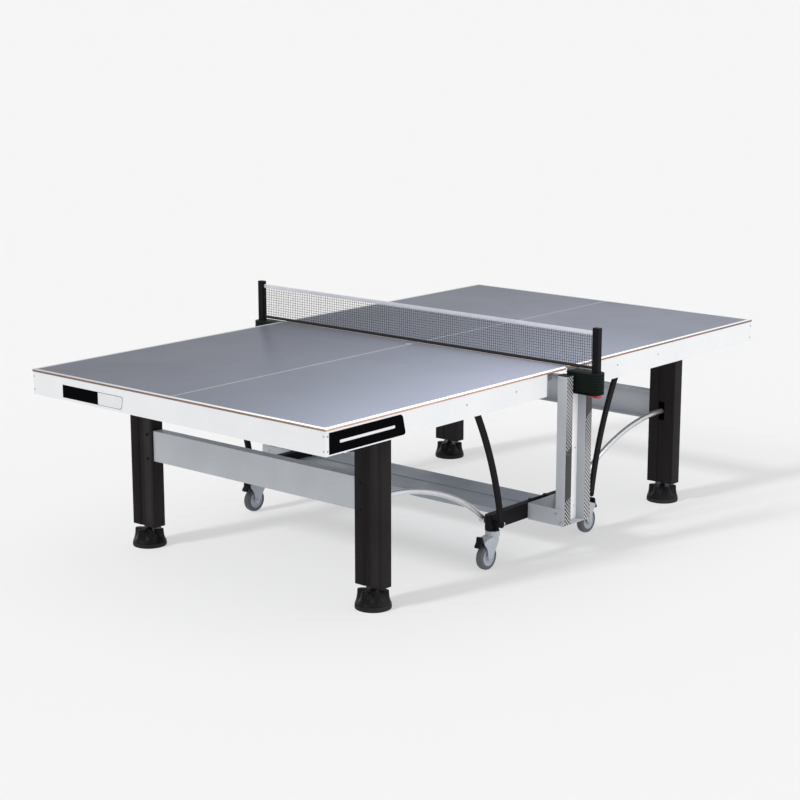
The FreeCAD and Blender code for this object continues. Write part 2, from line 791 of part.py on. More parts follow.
def save_chassis():
    save_pair("post_near", [post()])
    save_pair("post_far", [far(post())])
    caps = both_sides(post_cap())
    save("post_caps", caps + [left(c) for c in caps])
    save("web_plates", both_sides(web_plate()))
    save("beams", both_sides(beam_with_pivots()))
    save("centre_tray", [centre_tray()])
    save("base_brackets", both_sides(base_bracket()))
    save("stop_buffers", stop_buffers())
    save("chassis_bolts", chassis_bolts())
    save("net_brackets", both_sides(net_bracket()))
    save("net_posts", both_sides(net_post()))
    save("net_mesh", [net_mesh()])
    save("net_tape", [net_tape()])
    save("lock_lever", [lock_lever()])


os.makedirs("parts", exist_ok=True)
save_halves()
save_casters()
save_chassis()
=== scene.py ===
import json
import random
import bmesh
import bpy
from math import cos, pi, radians, sin
from mathutils import Matrix, Vector

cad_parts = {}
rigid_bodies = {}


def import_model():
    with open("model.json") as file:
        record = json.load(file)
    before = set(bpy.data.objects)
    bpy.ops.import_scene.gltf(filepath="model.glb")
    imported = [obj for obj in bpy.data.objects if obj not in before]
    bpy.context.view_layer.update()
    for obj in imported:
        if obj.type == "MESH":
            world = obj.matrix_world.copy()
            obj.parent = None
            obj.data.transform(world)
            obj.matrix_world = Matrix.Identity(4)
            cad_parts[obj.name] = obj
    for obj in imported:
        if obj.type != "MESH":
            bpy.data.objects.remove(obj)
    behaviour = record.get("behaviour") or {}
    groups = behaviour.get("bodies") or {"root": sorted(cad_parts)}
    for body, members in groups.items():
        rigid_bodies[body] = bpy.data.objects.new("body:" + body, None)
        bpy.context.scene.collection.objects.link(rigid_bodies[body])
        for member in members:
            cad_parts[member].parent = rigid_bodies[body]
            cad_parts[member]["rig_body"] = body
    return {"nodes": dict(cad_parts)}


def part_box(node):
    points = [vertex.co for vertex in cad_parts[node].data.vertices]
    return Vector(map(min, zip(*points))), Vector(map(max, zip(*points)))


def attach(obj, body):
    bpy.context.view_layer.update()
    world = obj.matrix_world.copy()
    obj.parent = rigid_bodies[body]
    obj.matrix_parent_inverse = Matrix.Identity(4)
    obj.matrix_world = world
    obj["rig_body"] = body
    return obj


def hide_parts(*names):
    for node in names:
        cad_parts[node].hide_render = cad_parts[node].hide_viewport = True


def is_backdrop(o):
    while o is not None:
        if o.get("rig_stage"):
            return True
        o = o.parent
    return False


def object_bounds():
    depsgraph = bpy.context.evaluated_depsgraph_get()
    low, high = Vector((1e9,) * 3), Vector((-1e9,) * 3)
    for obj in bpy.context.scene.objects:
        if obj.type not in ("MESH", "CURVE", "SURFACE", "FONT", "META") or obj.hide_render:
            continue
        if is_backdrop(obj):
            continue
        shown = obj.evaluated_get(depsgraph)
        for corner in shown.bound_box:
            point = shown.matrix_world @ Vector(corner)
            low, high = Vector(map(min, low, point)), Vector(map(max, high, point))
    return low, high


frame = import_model()
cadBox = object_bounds()
sides = {"right": 1, "left": -1}
rows = {"near": -1, "far": 1}
print("frame loaded:", len(frame["nodes"]), "nodes")

# ---- shader helpers -------------------------------------------------


def shaderNode(tree, kind, settings=None, **sockets):
    node = tree.nodes.new("ShaderNode" + kind)
    for key, value in (settings or {}).items():
        setattr(node, key, value)
    for key, value in sockets.items():
        socket = node.inputs[int(key[1:])] if key[0] == "i" and key[1:].isdigit() else node.inputs[key.replace("_", " ")]
        if isinstance(value, bpy.types.NodeSocket):
            tree.links.new(value, socket)
        else:
            socket.default_value = value
    return node


def calc(tree, operation, first, second=0.0, third=None, clamp=False):
    sockets = {"i0": first, "i1": second}
    if third is not None:
        sockets["i2"] = third
    return shaderNode(tree, "Math", {"operation": operation, "use_clamp": clamp}, **sockets).outputs[0]


def within(tree, value, low, high, soft=0.0004):
    rise = shaderNode(tree, "MapRange", {"interpolation_type": "SMOOTHSTEP"}, Value=value, From_Min=low - soft, From_Max=low + soft).outputs[0]
    fall = shaderNode(tree, "MapRange", {"interpolation_type": "SMOOTHSTEP"}, Value=value, From_Min=high - soft, From_Max=high + soft).outputs[0]
    return calc(tree, "SUBTRACT", rise, fall, clamp=True)


def ramp(tree, value, low, high, toLow=0.0, toHigh=1.0):
    return shaderNode(tree, "MapRange", None, Value=value, From_Min=low, From_Max=high, To_Min=toLow, To_Max=toHigh).outputs[0]


def mixColour(tree, factor, first, second, blend="MIX"):
    node = tree.nodes.new("ShaderNodeMix")
    node.data_type = "RGBA"
    node.blend_type = blend
    for socket, value in ((node.inputs[0], factor), (node.inputs[6], first), (node.inputs[7], second)):
        if isinstance(value, bpy.types.NodeSocket):
            tree.links.new(value, socket)
        else:
            socket.default_value = value
    return node.outputs[2]


def rgb(colour):
    return (*colour, 1.0)


def newGroup(name, inputs, outputs):
    group = bpy.data.node_groups.new(name, "ShaderNodeTree")
    for label, kind, value in inputs:
        socket = group.interface.new_socket(label, in_out="INPUT", socket_type="NodeSocket" + kind)
        if value is not None:
            socket.default_value = value
    for label, kind in outputs:
        group.interface.new_socket(label, in_out="OUTPUT", socket_type="NodeSocket" + kind)
    return group, group.nodes.new("NodeGroupInput").outputs, group.nodes.new("NodeGroupOutput").inputs


def useGroup(tree, group, **sockets):
    node = tree.nodes.new("ShaderNodeGroup")
    node.node_tree = group
    for key, value in sockets.items():
        socket = node.inputs[key]
        if isinstance(value, bpy.types.NodeSocket):
            tree.links.new(value, socket)
        else:
            socket.default_value = value
    return node.outputs


# ---- shared effects -------------------------------------------------


def makeGrain():
    group, given, made = newGroup("grain", [("Vector", "Vector", None), ("Fine", "Float", 900.0), ("Broad", "Float", 6.0)],
                                  [("Height", "Float"), ("Tone", "Float")])
    fine = shaderNode(group, "TexNoise", None, Vector=given["Vector"], Scale=given["Fine"], Detail=3.0, Roughness=0.6).outputs[0]
    broad = shaderNode(group, "TexNoise", None, Vector=given["Vector"], Scale=given["Broad"], Detail=4.0, Roughness=0.55).outputs[0]
    group.links.new(fine, made["Height"])
    group.links.new(ramp(group, broad, 0.32, 0.68), made["Tone"])
    return group


def makeDust():
    group, given, made = newGroup("dust", [("Vector", "Vector", None), ("Amount", "Float", 0.3)], [("Mask", "Float")])
    up = shaderNode(group, "SeparateXYZ", None, Vector=shaderNode(group, "TexCoord").outputs["Normal"]).outputs[2]
    cloud = shaderNode(group, "TexNoise", None, Vector=given["Vector"], Scale=9.0, Detail=6.0, Roughness=0.65).outputs[0]
    specks = shaderNode(group, "TexNoise", None, Vector=given["Vector"], Scale=420.0, Detail=1.0).outputs[0]
    settled = calc(group, "MULTIPLY", ramp(group, up, 0.2, 1.0), ramp(group, cloud, 0.4, 0.7))
    mask = calc(group, "MULTIPLY", settled, ramp(group, specks, 0.3, 0.8))
    group.links.new(calc(group, "MULTIPLY", mask, given["Amount"], clamp=True), made["Mask"])
    return group


def makeScuffs():
    group, given, made = newGroup("scuffs", [("Vector", "Vector", None), ("Amount", "Float", 0.3)], [("Mask", "Float")])
    turned = shaderNode(group, "Mapping", None, Vector=given["Vector"], Rotation=(0.5, 0.3, 0.7), Scale=(14.0, 190.0, 60.0)).outputs[0]
    lines = shaderNode(group, "TexNoise", None, Vector=turned, Scale=1.0, Detail=2.0, Distortion=0.4).outputs[0]
    where = shaderNode(group, "TexNoise", None, Vector=given["Vector"], Scale=5.0, Detail=2.0).outputs[0]
    mask = calc(group, "MULTIPLY", ramp(group, lines, 0.66, 0.72), ramp(group, where, 0.45, 0.6))
    group.links.new(calc(group, "MULTIPLY", mask, given["Amount"], clamp=True), made["Mask"])
    return group


def makeEdgeWear():
    group, given, made = newGroup("edgeWear", [("Vector", "Vector", None), ("Width", "Float", 0.0012), ("Amount", "Float", 0.5)], [("Mask", "Float")])
    bevel = shaderNode(group, "Bevel", {"samples": 4}, Radius=given["Width"]).outputs[0]
    normal = shaderNode(group, "NewGeometry").outputs["Normal"]
    facing = shaderNode(group, "VectorMath", {"operation": "DOT_PRODUCT"}, i0=bevel, i1=normal).outputs["Value"]
    chips = shaderNode(group, "TexNoise", None, Vector=given["Vector"], Scale=160.0, Detail=4.0).outputs[0]
    mask = calc(group, "MULTIPLY", ramp(group, facing, 0.995, 0.93), ramp(group, chips, 0.45, 0.62))
    group.links.new(calc(group, "MULTIPLY", mask, given["Amount"], clamp=True), made["Mask"])
    return group


def makeStreaks():
    group, given, made = newGroup("streaks", [("Vector", "Vector", None), ("Stretch", "Vector", (900.0, 900.0, 4.0))], [("Height", "Float"), ("Tone", "Float")])
    pulled = shaderNode(group, "VectorMath", {"operation": "MULTIPLY"}, i0=given["Vector"], i1=given["Stretch"]).outputs[0]
    lines = shaderNode(group, "TexNoise", None, Vector=pulled, Scale=1.0, Detail=3.0, Roughness=0.7).outputs[0]
    group.links.new(lines, made["Height"])
    group.links.new(ramp(group, lines, 0.3, 0.7), made["Tone"])
    return group


def makeDots():
    group, given, made = newGroup("dots", [("Across", "Float", 0.0), ("Along", "Float", 0.0), ("Pitch", "Float", 0.009), ("Cover", "Float", 0.5)], [("Mask", "Float")])
    waves = []
    for sign in ("ADD", "SUBTRACT"):
        diagonal = calc(group, sign, given["Across"], given["Along"])
        waves.append(calc(group, "COSINE", calc(group, "MULTIPLY", calc(group, "DIVIDE", diagonal, given["Pitch"]), 2 * pi)))
    level = calc(group, "ADD", calc(group, "MULTIPLY", calc(group, "ADD", waves[0], waves[1]), 0.25), 0.5)
    edge = calc(group, "SUBTRACT", 1.0, given["Cover"])
    mask = calc(group, "MULTIPLY", calc(group, "SUBTRACT", level, edge), 12.0)
    group.links.new(calc(group, "ADD", mask, 0.5, clamp=True), made["Mask"])
    return group


def makeWeave():
    group, given, made = newGroup("weave", [("Across", "Float", 0.0), ("Along", "Float", 0.0), ("Pitch", "Float", 0.0012)], [("Height", "Float"), ("Shade", "Float")])
    threads = []
    for axis in ("Across", "Along"):
        phase = calc(group, "MULTIPLY", calc(group, "DIVIDE", given[axis], given["Pitch"]), pi)
        threads.append(calc(group, "ABSOLUTE", calc(group, "SINE", phase)))
    height = calc(group, "MAXIMUM", threads[0], threads[1])
    group.links.new(height, made["Height"])
    # Shade is painted shade: darker in the gaps between the threads
    group.links.new(ramp(group, calc(group, "MULTIPLY", threads[0], threads[1]), 0.0, 0.6), made["Shade"])
    return group


grain = makeGrain()
dust = makeDust()
scuffs = makeScuffs()
edgeWear = makeEdgeWear()
streaks = makeStreaks()
dots = makeDots()
weave = makeWeave()
print("shared effects ready")

# ---- materials ------------------------------------------------------

finishes = {
    "whitePaint": {"colour": (0.82, 0.83, 0.845), "shade": (0.775, 0.79, 0.81), "rough": (0.30, 0.42), "bump": 0.05, "fine": 700.0, "coat": 0.05, "dust": 0.10, "scuffs": 0.12},
    # the web plates' white paint made lighter than the rails' white: painted light standing in for the strong light on
    # their face
    "webPaint": {"colour": (0.93, 0.935, 0.945), "shade": (0.90, 0.905, 0.92), "rough": (0.32, 0.44), "bump": 0.05, "fine": 700.0, "coat": 0.0, "dust": 0.10, "scuffs": 0.10},
    "lightGreyPaint": {"colour": (0.47, 0.495, 0.53), "shade": (0.42, 0.445, 0.48), "rough": (0.38, 0.50), "bump": 0.08, "fine": 900.0, "coat": 0.0, "dust": 0.12, "scuffs": 0.15},
    "trayPaint": {"colour": (0.34, 0.375, 0.43), "shade": (0.29, 0.32, 0.375), "rough": (0.35, 0.50), "bump": 0.08, "fine": 900.0, "coat": 0.0, "dust": 0.18, "scuffs": 0.2},
    "framePaint": {"colour": (0.28, 0.30, 0.33), "shade": (0.23, 0.25, 0.28), "rough": (0.42, 0.55), "bump": 0.10, "fine": 800.0, "coat": 0.0, "dust": 0.15, "scuffs": 0.2},
    "blackPaint": {"colour": (0.007, 0.007, 0.008), "shade": (0.011, 0.010, 0.012), "rough": (0.36, 0.50), "bump": 0.12, "fine": 1000.0, "coat": 0.0, "dust": 0.10, "scuffs": 0.15, "gloss": 0.06},
    "blackPlastic": {"colour": (0.005, 0.005, 0.006), "shade": (0.010, 0.010, 0.012), "rough": (0.28, 0.42), "bump": 0.10, "fine": 1400.0, "coat": 0.0, "dust": 0.10, "scuffs": 0.10, "gloss": 0.10},
    "greenBlackMoulding": {"colour": (0.005, 0.0085, 0.0075), "shade": (0.009, 0.014, 0.012), "rough": (0.42, 0.60), "bump": 0.18, "fine": 1500.0, "coat": 0.0, "dust": 0.08, "scuffs": 0.08, "gloss": 0.05},
    "rubber": {"colour": (0.014, 0.014, 0.015), "shade": (0.028, 0.028, 0.029), "rough": (0.62, 0.80), "bump": 0.25, "fine": 900.0, "coat": 0.0, "dust": 0.25, "scuffs": 0.10, "gloss": 0.12},
    "tyreRubber": {"colour": (0.105, 0.113, 0.127), "shade": (0.080, 0.086, 0.098), "rough": (0.55, 0.72), "bump": 0.18, "fine": 1000.0, "coat": 0.0, "dust": 0.25, "scuffs": 0.15, "gloss": 0.3},
    "forkPlastic": {"colour": (0.42, 0.455, 0.51), "shade": (0.37, 0.40, 0.455), "rough": (0.33, 0.45), "bump": 0.06, "fine": 1300.0, "coat": 0.0, "dust": 0.10, "scuffs": 0.08},
    "hubPlastic": {"colour": (0.37, 0.40, 0.455), "shade": (0.32, 0.35, 0.40), "rough": (0.33, 0.48), "bump": 0.06, "fine": 1300.0, "coat": 0.0, "dust": 0.10, "scuffs": 0.08},
    "redGloss": {"colour": (0.42, 0.012, 0.030), "shade": (0.32, 0.008, 0.022), "rough": (0.10, 0.22), "bump": 0.02, "fine": 500.0, "coat": 0.6, "dust": 0.05, "scuffs": 0.10},
    "nylon": {"colour": (0.66, 0.66, 0.62), "shade": (0.58, 0.58, 0.55), "rough": (0.40, 0.55), "bump": 0.08, "fine": 1100.0, "coat": 0.0, "dust": 0.10, "scuffs": 0.10},
    "zinc": {"colour": (0.58, 0.58, 0.58), "shade": (0.46, 0.46, 0.47), "rough": (0.25, 0.42), "bump": 0.08, "fine": 1200.0, "coat": 0.0, "dust": 0.05, "scuffs": 0.25, "metal": 1.0},
    "silver": {"colour": (0.74, 0.75, 0.77), "shade": (0.64, 0.65, 0.67), "rough": (0.24, 0.36), "bump": 0.05, "fine": 900.0, "coat": 0.0, "dust": 0.05, "scuffs": 0.20, "metal": 0.85},
    "decalBlack": {"colour": (0.003, 0.003, 0.004), "shade": (0.004, 0.004, 0.005), "rough": (0.45, 0.55), "bump": 0.02, "fine": 500.0, "coat": 0.0, "dust": 0.0, "scuffs": 0.02, "gloss": 0.0},
    "decalWhite": {"colour": (0.78, 0.79, 0.80), "shade": (0.72, 0.73, 0.74), "rough": (0.22, 0.30), "bump": 0.02, "fine": 500.0, "coat": 0.3, "dust": 0.05, "scuffs": 0.05},
    "boardBack": {"colour": (0.30, 0.32, 0.34), "shade": (0.25, 0.27, 0.29), "rough": (0.45, 0.60), "bump": 0.15, "fine": 500.0, "coat": 0.0, "dust": 0.0, "scuffs": 0.15},
}


class Sheen:
    # a material under way: its tree, shader, object coordinates and parts
    def __init__(self, name, look):
        self.material = bpy.data.materials.new(name)
        self.material.use_nodes = True
        tree = self.tree = self.material.node_tree
        self.shader = tree.nodes["Principled BSDF"]
        self.place = shaderNode(tree, "TexCoord").outputs["Object"]
        self.xyz = shaderNode(tree, "SeparateXYZ", None, Vector=self.place).outputs
        surface = useGroup(tree, grain, Vector=self.place, Fine=look.get("fine", 900.0), Broad=look.get("broad", 6.0))
        self.height = surface["Height"]
        self.colour = mixColour(tree, surface["Tone"], rgb(look["colour"]), rgb(look["shade"]))
        self.rough = ramp(tree, surface["Tone"], 0.0, 1.0, *look["rough"])
        self.bump = look["bump"]
        self.bumpDepth = look.get("depth", 0.0004)
        self.shader.inputs["Metallic"].default_value = look.get("metal", 0.0)
        self.shader.inputs["Coat Weight"].default_value = look.get("coat", 0.0)
        self.shader.inputs["Coat Roughness"].default_value = 0.12
        self.shader.inputs["Specular IOR Level"].default_value = look.get("gloss", 0.5)
        self.look = look

    def paintOver(self, mask, colour, rough=None):
        self.colour = mixColour(self.tree, mask, self.colour, colour if isinstance(colour, bpy.types.NodeSocket) else rgb(colour))
        if rough is not None:
            self.rough = shaderNode(self.tree, "MapRange", None, Value=mask, To_Min=self.rough, To_Max=rough).outputs[0]

    def finished(self):
        tree = self.tree
        if self.look.get("wear"):
            worn = useGroup(tree, edgeWear, Vector=self.place, Width=0.0012, Amount=self.look["wear"])["Mask"]
            self.paintOver(worn, self.look.get("bare", (0.45, 0.45, 0.46)))
        if self.look.get("scuffs"):
            rubbed = useGroup(tree, scuffs, Vector=self.place, Amount=self.look["scuffs"])["Mask"]
            self.paintOver(rubbed, [min(1.0, c * 1.5 + 0.03) for c in self.look["colour"]])
        if self.look.get("dust"):
            settled = useGroup(tree, dust, Vector=self.place, Amount=self.look["dust"])["Mask"]
            self.paintOver(settled, (0.42, 0.40, 0.37), 0.85)
        tree.links.new(self.colour, self.shader.inputs["Base Color"])
        tree.links.new(self.rough, self.shader.inputs["Roughness"])
        bumped = shaderNode(tree, "Bump", None, Strength=self.bump, Distance=self.bumpDepth, Height=self.height)
        tree.links.new(bumped.outputs[0], self.shader.inputs["Normal"])
        return self.material


materials = {name: Sheen(name, look).finished() for name, look in finishes.items()}

playingTop = {
    "colour": (0.130, 0.141, 0.174), "shade": (0.124, 0.134, 0.166), "rough": (0.34, 0.40), "gloss": 0.03, "bump": 0.10, "fine": 1600.0, "broad": 2.2,
    "dust": 0.0, "scuffs": 0.0, "lineColour": (0.50, 0.51, 0.52), "lineWidth": 0.014, "centreLine": 0.003,
}


def makePlayingTop():
    sheen = Sheen("playingTop", playingTop)
    tree = sheen.tree
    halfLength = cadBox[1][0]
    endX = min(1.37, halfLength)
    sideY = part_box("board_right")[1][1]
    x = calc(tree, "ABSOLUTE", sheen.xyz[0])
    y = calc(tree, "ABSOLUTE", sheen.xyz[1])
    ends = ramp(tree, x, endX - playingTop["lineWidth"] - 0.0003, endX - playingTop["lineWidth"] + 0.0003)
    edges = ramp(tree, y, sideY - playingTop["lineWidth"] - 0.0003, sideY - playingTop["lineWidth"] + 0.0003)
    centre = ramp(tree, y, playingTop["centreLine"] / 2 + 0.0003, playingTop["centreLine"] / 2 - 0.0003)
    lines = calc(tree, "MAXIMUM", calc(tree, "MAXIMUM", ends, edges), centre, clamp=True)
    sheen.paintOver(lines, playingTop["lineColour"], 0.34)
    return sheen.finished()


coreEdge = {"colour": (0.170, 0.092, 0.070), "shade": (0.12, 0.062, 0.048), "rough": (0.55, 0.7), "bump": 0.2, "fine": 700.0, "broad": 40.0, "scuffs": 0.1}


def makeCoreEdge():
    sheen = Sheen("coreEdge", coreEdge)
    tree = sheen.tree
    low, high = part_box("board_right")
    ply = shaderNode(tree, "TexNoise", None, Vector=shaderNode(tree, "VectorMath", {"operation": "MULTIPLY"}, i0=sheen.place, i1=(6.0, 6.0, 900.0)).outputs[0], Scale=1.0, Detail=2.0)
    sheen.paintOver(ramp(tree, ply.outputs[0], 0.35, 0.65, 0.0, 0.7), (0.26, 0.165, 0.125))
    skin = ramp(tree, sheen.xyz[2], high[2] - 0.0016, high[2] - 0.0010)
    sheen.paintOver(skin, (0.62, 0.62, 0.62))
    return sheen.finished()


postFace = {
    "cell": 0.0155, "ink": (0.016, 0.016, 0.017), "slant": 0.62,
    "solidA": (0.2550, 0.4530), "solidB": (0.5710, 0.7600), "light": 0.50, "dense": 0.66, "spread": 0.16,
}


def makePostPaint():
    look = dict(finishes["lightGreyPaint"])
    sheen = Sheen("postPaint", look)
    tree = sheen.tree
    low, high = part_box("post_near_right")
    face = ramp(tree, calc(tree, "ABSOLUTE", sheen.xyz[1]), -low[1] - 0.0012, -low[1] - 0.0006)
    flip = calc(tree, "SIGN", calc(tree, "MULTIPLY", sheen.xyz[0], sheen.xyz[1]))
    kindA = ramp(tree, flip, -0.5, 0.5)
    middle = (low[0] + high[0]) / 2
    across = calc(tree, "SUBTRACT", calc(tree, "ABSOLUTE", sheen.xyz[0]), middle)
    seen = calc(tree, "MULTIPLY", across, flip)
    level = calc(tree, "SUBTRACT", sheen.xyz[2], calc(tree, "MULTIPLY", seen, -postFace["slant"]))
    masks = []
    for low1, high1 in (postFace["solidB"], postFace["solidA"]):
        solid = within(tree, level, low1, high1, 0.0006)
        below = ramp(tree, level, low1 - postFace["spread"], low1, postFace["light"], postFace["dense"])
        above = ramp(tree, level, high1, high1 + postFace["spread"], postFace["dense"], postFace["light"])
        nearer = ramp(tree, level, (low1 + high1) / 2, (low1 + high1) / 2 + 0.001)
        cover = calc(tree, "ADD", calc(tree, "MULTIPLY", above, nearer), calc(tree, "MULTIPLY", below, calc(tree, "SUBTRACT", 1.0, nearer)))
        printed = useGroup(tree, dots, Across=across, Along=sheen.xyz[2], Pitch=postFace["cell"], Cover=cover)["Mask"]
        masks.append(calc(tree, "MAXIMUM", solid, printed))
    chosen = calc(tree, "ADD", calc(tree, "MULTIPLY", masks[1], kindA), calc(tree, "MULTIPLY", masks[0], calc(tree, "SUBTRACT", 1.0, kindA)))
    sheen.paintOver(face, (0.52, 0.53, 0.54))
    sheen.paintOver(calc(tree, "MULTIPLY", chosen, face, clamp=True), postFace["ink"], 0.35)
    return sheen.finished()


legFinish = {"gloss": 0.06, "colour": (0.015, 0.012, 0.013), "shade": (0.010, 0.008, 0.009), "rough": (0.36, 0.48), "bump": 0.10, "fine": 1200.0, "dust": 0.06, "scuffs": 0.12, "metal": 0.0, "broad": 5.0}


def makeLegFinish():
    sheen = Sheen("legAnodised", legFinish)
    drawn = useGroup(sheen.tree, streaks, Vector=sheen.place, Stretch=(700.0, 700.0, 2.0))
    sheen.height = drawn["Height"]
    sheen.paintOver(ramp(sheen.tree, drawn["Tone"], 0.0, 1.0, 0.0, 0.30), (0.036, 0.034, 0.036))
    return sheen.finished()


clothLooks = {
    "tapeCloth": {"colour": (0.76, 0.77, 0.83), "shade": (0.69, 0.70, 0.77), "rough": (0.75, 0.88), "bump": 0.5, "depth": 0.0006, "broad": 14.0, "pitch": 0.0016, "seam": (0.06, 0.06, 0.07), "top": True},
    "bandCloth": {"colour": (0.014, 0.014, 0.018), "shade": (0.022, 0.022, 0.027), "rough": (0.75, 0.90), "bump": 0.5, "depth": 0.0006, "broad": 14.0, "pitch": 0.0016, "seam": (0.10, 0.10, 0.12), "top": False},
}


def makeCloth(name):
    look = clothLooks[name]
    sheen = Sheen(name, look)
    tree = sheen.tree
    cloth = useGroup(tree, weave, Across=sheen.xyz[1], Along=sheen.xyz[2], Pitch=look["pitch"])
    sheen.height = cloth["Height"]
    # darker where the threads part: painted shade in the gaps of the weave
    sheen.colour = mixColour(tree, ramp(tree, cloth["Shade"], 0.0, 1.0, 0.22, 0.0), sheen.colour, rgb([c * 0.55 for c in look["colour"]]))
    low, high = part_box("net_tape" if look["top"] else "net_mesh")
    level = low[2] + 0.0026 if look["top"] else low[2] + 0.0095
    dash = ramp(tree, calc(tree, "SINE", calc(tree, "MULTIPLY", sheen.xyz[1], 2 * pi / 0.0045)), -0.2, 0.1)
    stitch = calc(tree, "MULTIPLY", within(tree, sheen.xyz[2], level - 0.0005, level + 0.0005, 0.0002), dash)
    sheen.paintOver(stitch, look["seam"])
    return sheen.finished()


yarn = {"colour": (0.012, 0.012, 0.014), "shade": (0.026, 0.026, 0.030), "rough": (0.7, 0.9), "bump": 0.6, "depth": 0.0003, "fine": 2600.0, "broad": 300.0}

materials["playingTop"] = makePlayingTop()
materials["coreEdge"] = makeCoreEdge()
materials["postPaint"] = makePostPaint()
materials["legAnodised"] = makeLegFinish()
materials["tapeCloth"] = makeCloth("tapeCloth")
materials["bandCloth"] = makeCloth("bandCloth")
materials["yarn"] = Sheen("yarn", yarn).finished()
print("materials ready:", len(materials))

# ---- modelling helpers ----------------------------------------------


def rides(node):
    return frame["nodes"][node]["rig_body"]


def addPiece(name, bm, finishNames, body, replaced=(), smooth=35.0, recalc=True):
    bmesh.ops.remove_doubles(bm, verts=bm.verts, dist=0.00001)
    if recalc:
        bmesh.ops.recalc_face_normals(bm, faces=bm.faces)
    mesh = bpy.data.meshes.new(name)
    bm.to_mesh(mesh)
    bm.free()
    for finishName in ([finishNames] if isinstance(finishNames, str) else finishNames):
        mesh.materials.append(materials[finishName])
    mesh.shade_smooth()
    mesh.set_sharp_from_angle(angle=radians(smooth))
    piece = bpy.data.objects.new(name, mesh)
    bpy.context.scene.collection.objects.link(piece)
    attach(piece, body)
    if replaced:
        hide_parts(*replaced)
    return piece


def cube(bm, low, high):
    made = bmesh.ops.create_cube(bm, size=1.0)["verts"]
    size = Vector(high) - Vector(low)
    bmesh.ops.scale(bm, vec=size, verts=made)
    bmesh.ops.translate(bm, vec=(Vector(low) + Vector(high)) / 2, verts=made)
    return made


def edgesOf(verts, test=None):
    found = {e for v in verts for e in v.link_edges}
    return [e for e in found if test is None or test(e)]


def soften(bm, edges, width, segments=2):
    if edges:
        bmesh.ops.bevel(bm, geom=edges, offset=width, offset_type="OFFSET", segments=segments, profile=0.5, affect="EDGES", material=-1, clamp_overlap=True)


def alongAxis(edge, axis):
    return abs((edge.verts[0].co - edge.verts[1].co).normalized()[axis]) > 0.99


def softBox(bm, low, high, width, segments=2):
    made = cube(bm, low, high)
    soften(bm, edgesOf(made), width, segments)


def facing(direction):
    # turns +Z to this direction
    return Vector((0, 0, 1)).rotation_difference(Vector(direction)).to_matrix().to_4x4()


def lathe(bm, profile, centre, direction=(0, 0, 1), steps=24):
    # profile is radius, height pairs from the axis at the bottom to the axis at the top
    points = [bm.verts.new((radius, 0, height)) for radius, height in profile]
    edges = [bm.edges.new(pair) for pair in zip(points, points[1:])]
    spun = bmesh.ops.spin(bm, geom=points + edges, cent=(0, 0, 0), axis=(0, 0, 1), angle=2 * pi, steps=steps, use_merge=True)
    made = set(points) | {v for v in spun["geom_last"] if isinstance(v, bmesh.types.BMVert)}
    made |= {v for e in edges if e.is_valid for v in e.verts}
    reach = set(made)
    frontier = list(made)
    while frontier:
        vert = frontier.pop()
        for edge in vert.link_edges:
            other = edge.other_vert(vert)
            if other not in reach:
                reach.add(other)
                frontier.append(other)
    reach = [v for v in reach if v.is_valid]
    bmesh.ops.remove_doubles(bm, verts=reach, dist=0.00001)
    reach = [v for v in reach if v.is_valid]
    bmesh.ops.transform(bm, matrix=Matrix.Translation(Vector(centre)) @ facing(direction), verts=reach)
    return reach


def slab(bm, outline, thickness, place=(0, 0, 0), plane="xz", roundBy=0.0, bevelBy=0.0):
    # a flat outline extruded along the plane's normal
    frameOf = {"xz": lambda a, b: (a, 0, b), "xy": lambda a, b: (a, b, 0), "yz": lambda a, b: (0, a, b)}[plane]
    push = {"xz": (0, 1, 0), "xy": (0, 0, 1), "yz": (1, 0, 0)}[plane]
    corners = [bm.verts.new(Vector(frameOf(a, b)) + Vector(place)) for a, b in outline]
    face = bm.faces.new(corners)
    if roundBy:
        rounded = bmesh.ops.bevel(bm, geom=corners, offset=roundBy, offset_type="OFFSET", segments=4, profile=0.5, affect="VERTICES", material=-1, clamp_overlap=True)
        face = max(rounded["verts"][0].link_faces, key=lambda f: f.calc_area())
    grown = bmesh.ops.extrude_face_region(bm, geom=[face])
    top = [g for g in grown["geom"] if isinstance(g, bmesh.types.BMVert)]
    bmesh.ops.translate(bm, vec=Vector(push) * thickness, verts=top)
    whole = set(top)
    for vert in top:
        for edge in vert.link_edges:
            whole.add(edge.other_vert(vert))
    whole = list(whole)
    if bevelBy:
        normal = Vector(push)
        rims = [e for e in edgesOf(whole) if abs((e.verts[0].co - e.verts[1].co).normalized().dot(normal)) < 0.5]
        soften(bm, rims, bevelBy)
    return whole


def buttonHead(bm, centre, direction, radius, height, socket=0.45):
    lathe(bm, [(0.0, -0.0006), (radius, -0.0006), (radius, height * 0.25), (radius * 0.93, height * 0.6), (radius * 0.7, height * 0.92), (radius * socket, height),
               (radius * socket * 0.9, height * 0.5), (0.0, height * 0.45)], centre, direction, 14)


def cadCopy(node, pieceName, finishNames, bevelBy=0.0, smooth=32.0, more=None, flatten=True):
    bm = bmesh.new()
    bm.from_mesh(frame["nodes"][node].data)
    bmesh.ops.remove_doubles(bm, verts=bm.verts, dist=0.00002)
    if flatten:
        bmesh.ops.dissolve_limit(bm, angle_limit=radians(0.6), use_dissolve_boundaries=False, verts=bm.verts, edges=bm.edges)
    if bevelBy:
        sharp = [e for e in bm.edges if len(e.link_faces) == 2 and e.calc_face_angle(0.0) > radians(35)]
        soften(bm, sharp, bevelBy)
    if more:
        more(bm)
    return addPiece(pieceName, bm, finishNames, rides(node), [node], smooth, recalc=False)


# ---- boards ---------------------------------------------------------

boardShape = {"netCorner": 0.018, "endCorner": 0.004, "edge": 0.0006}


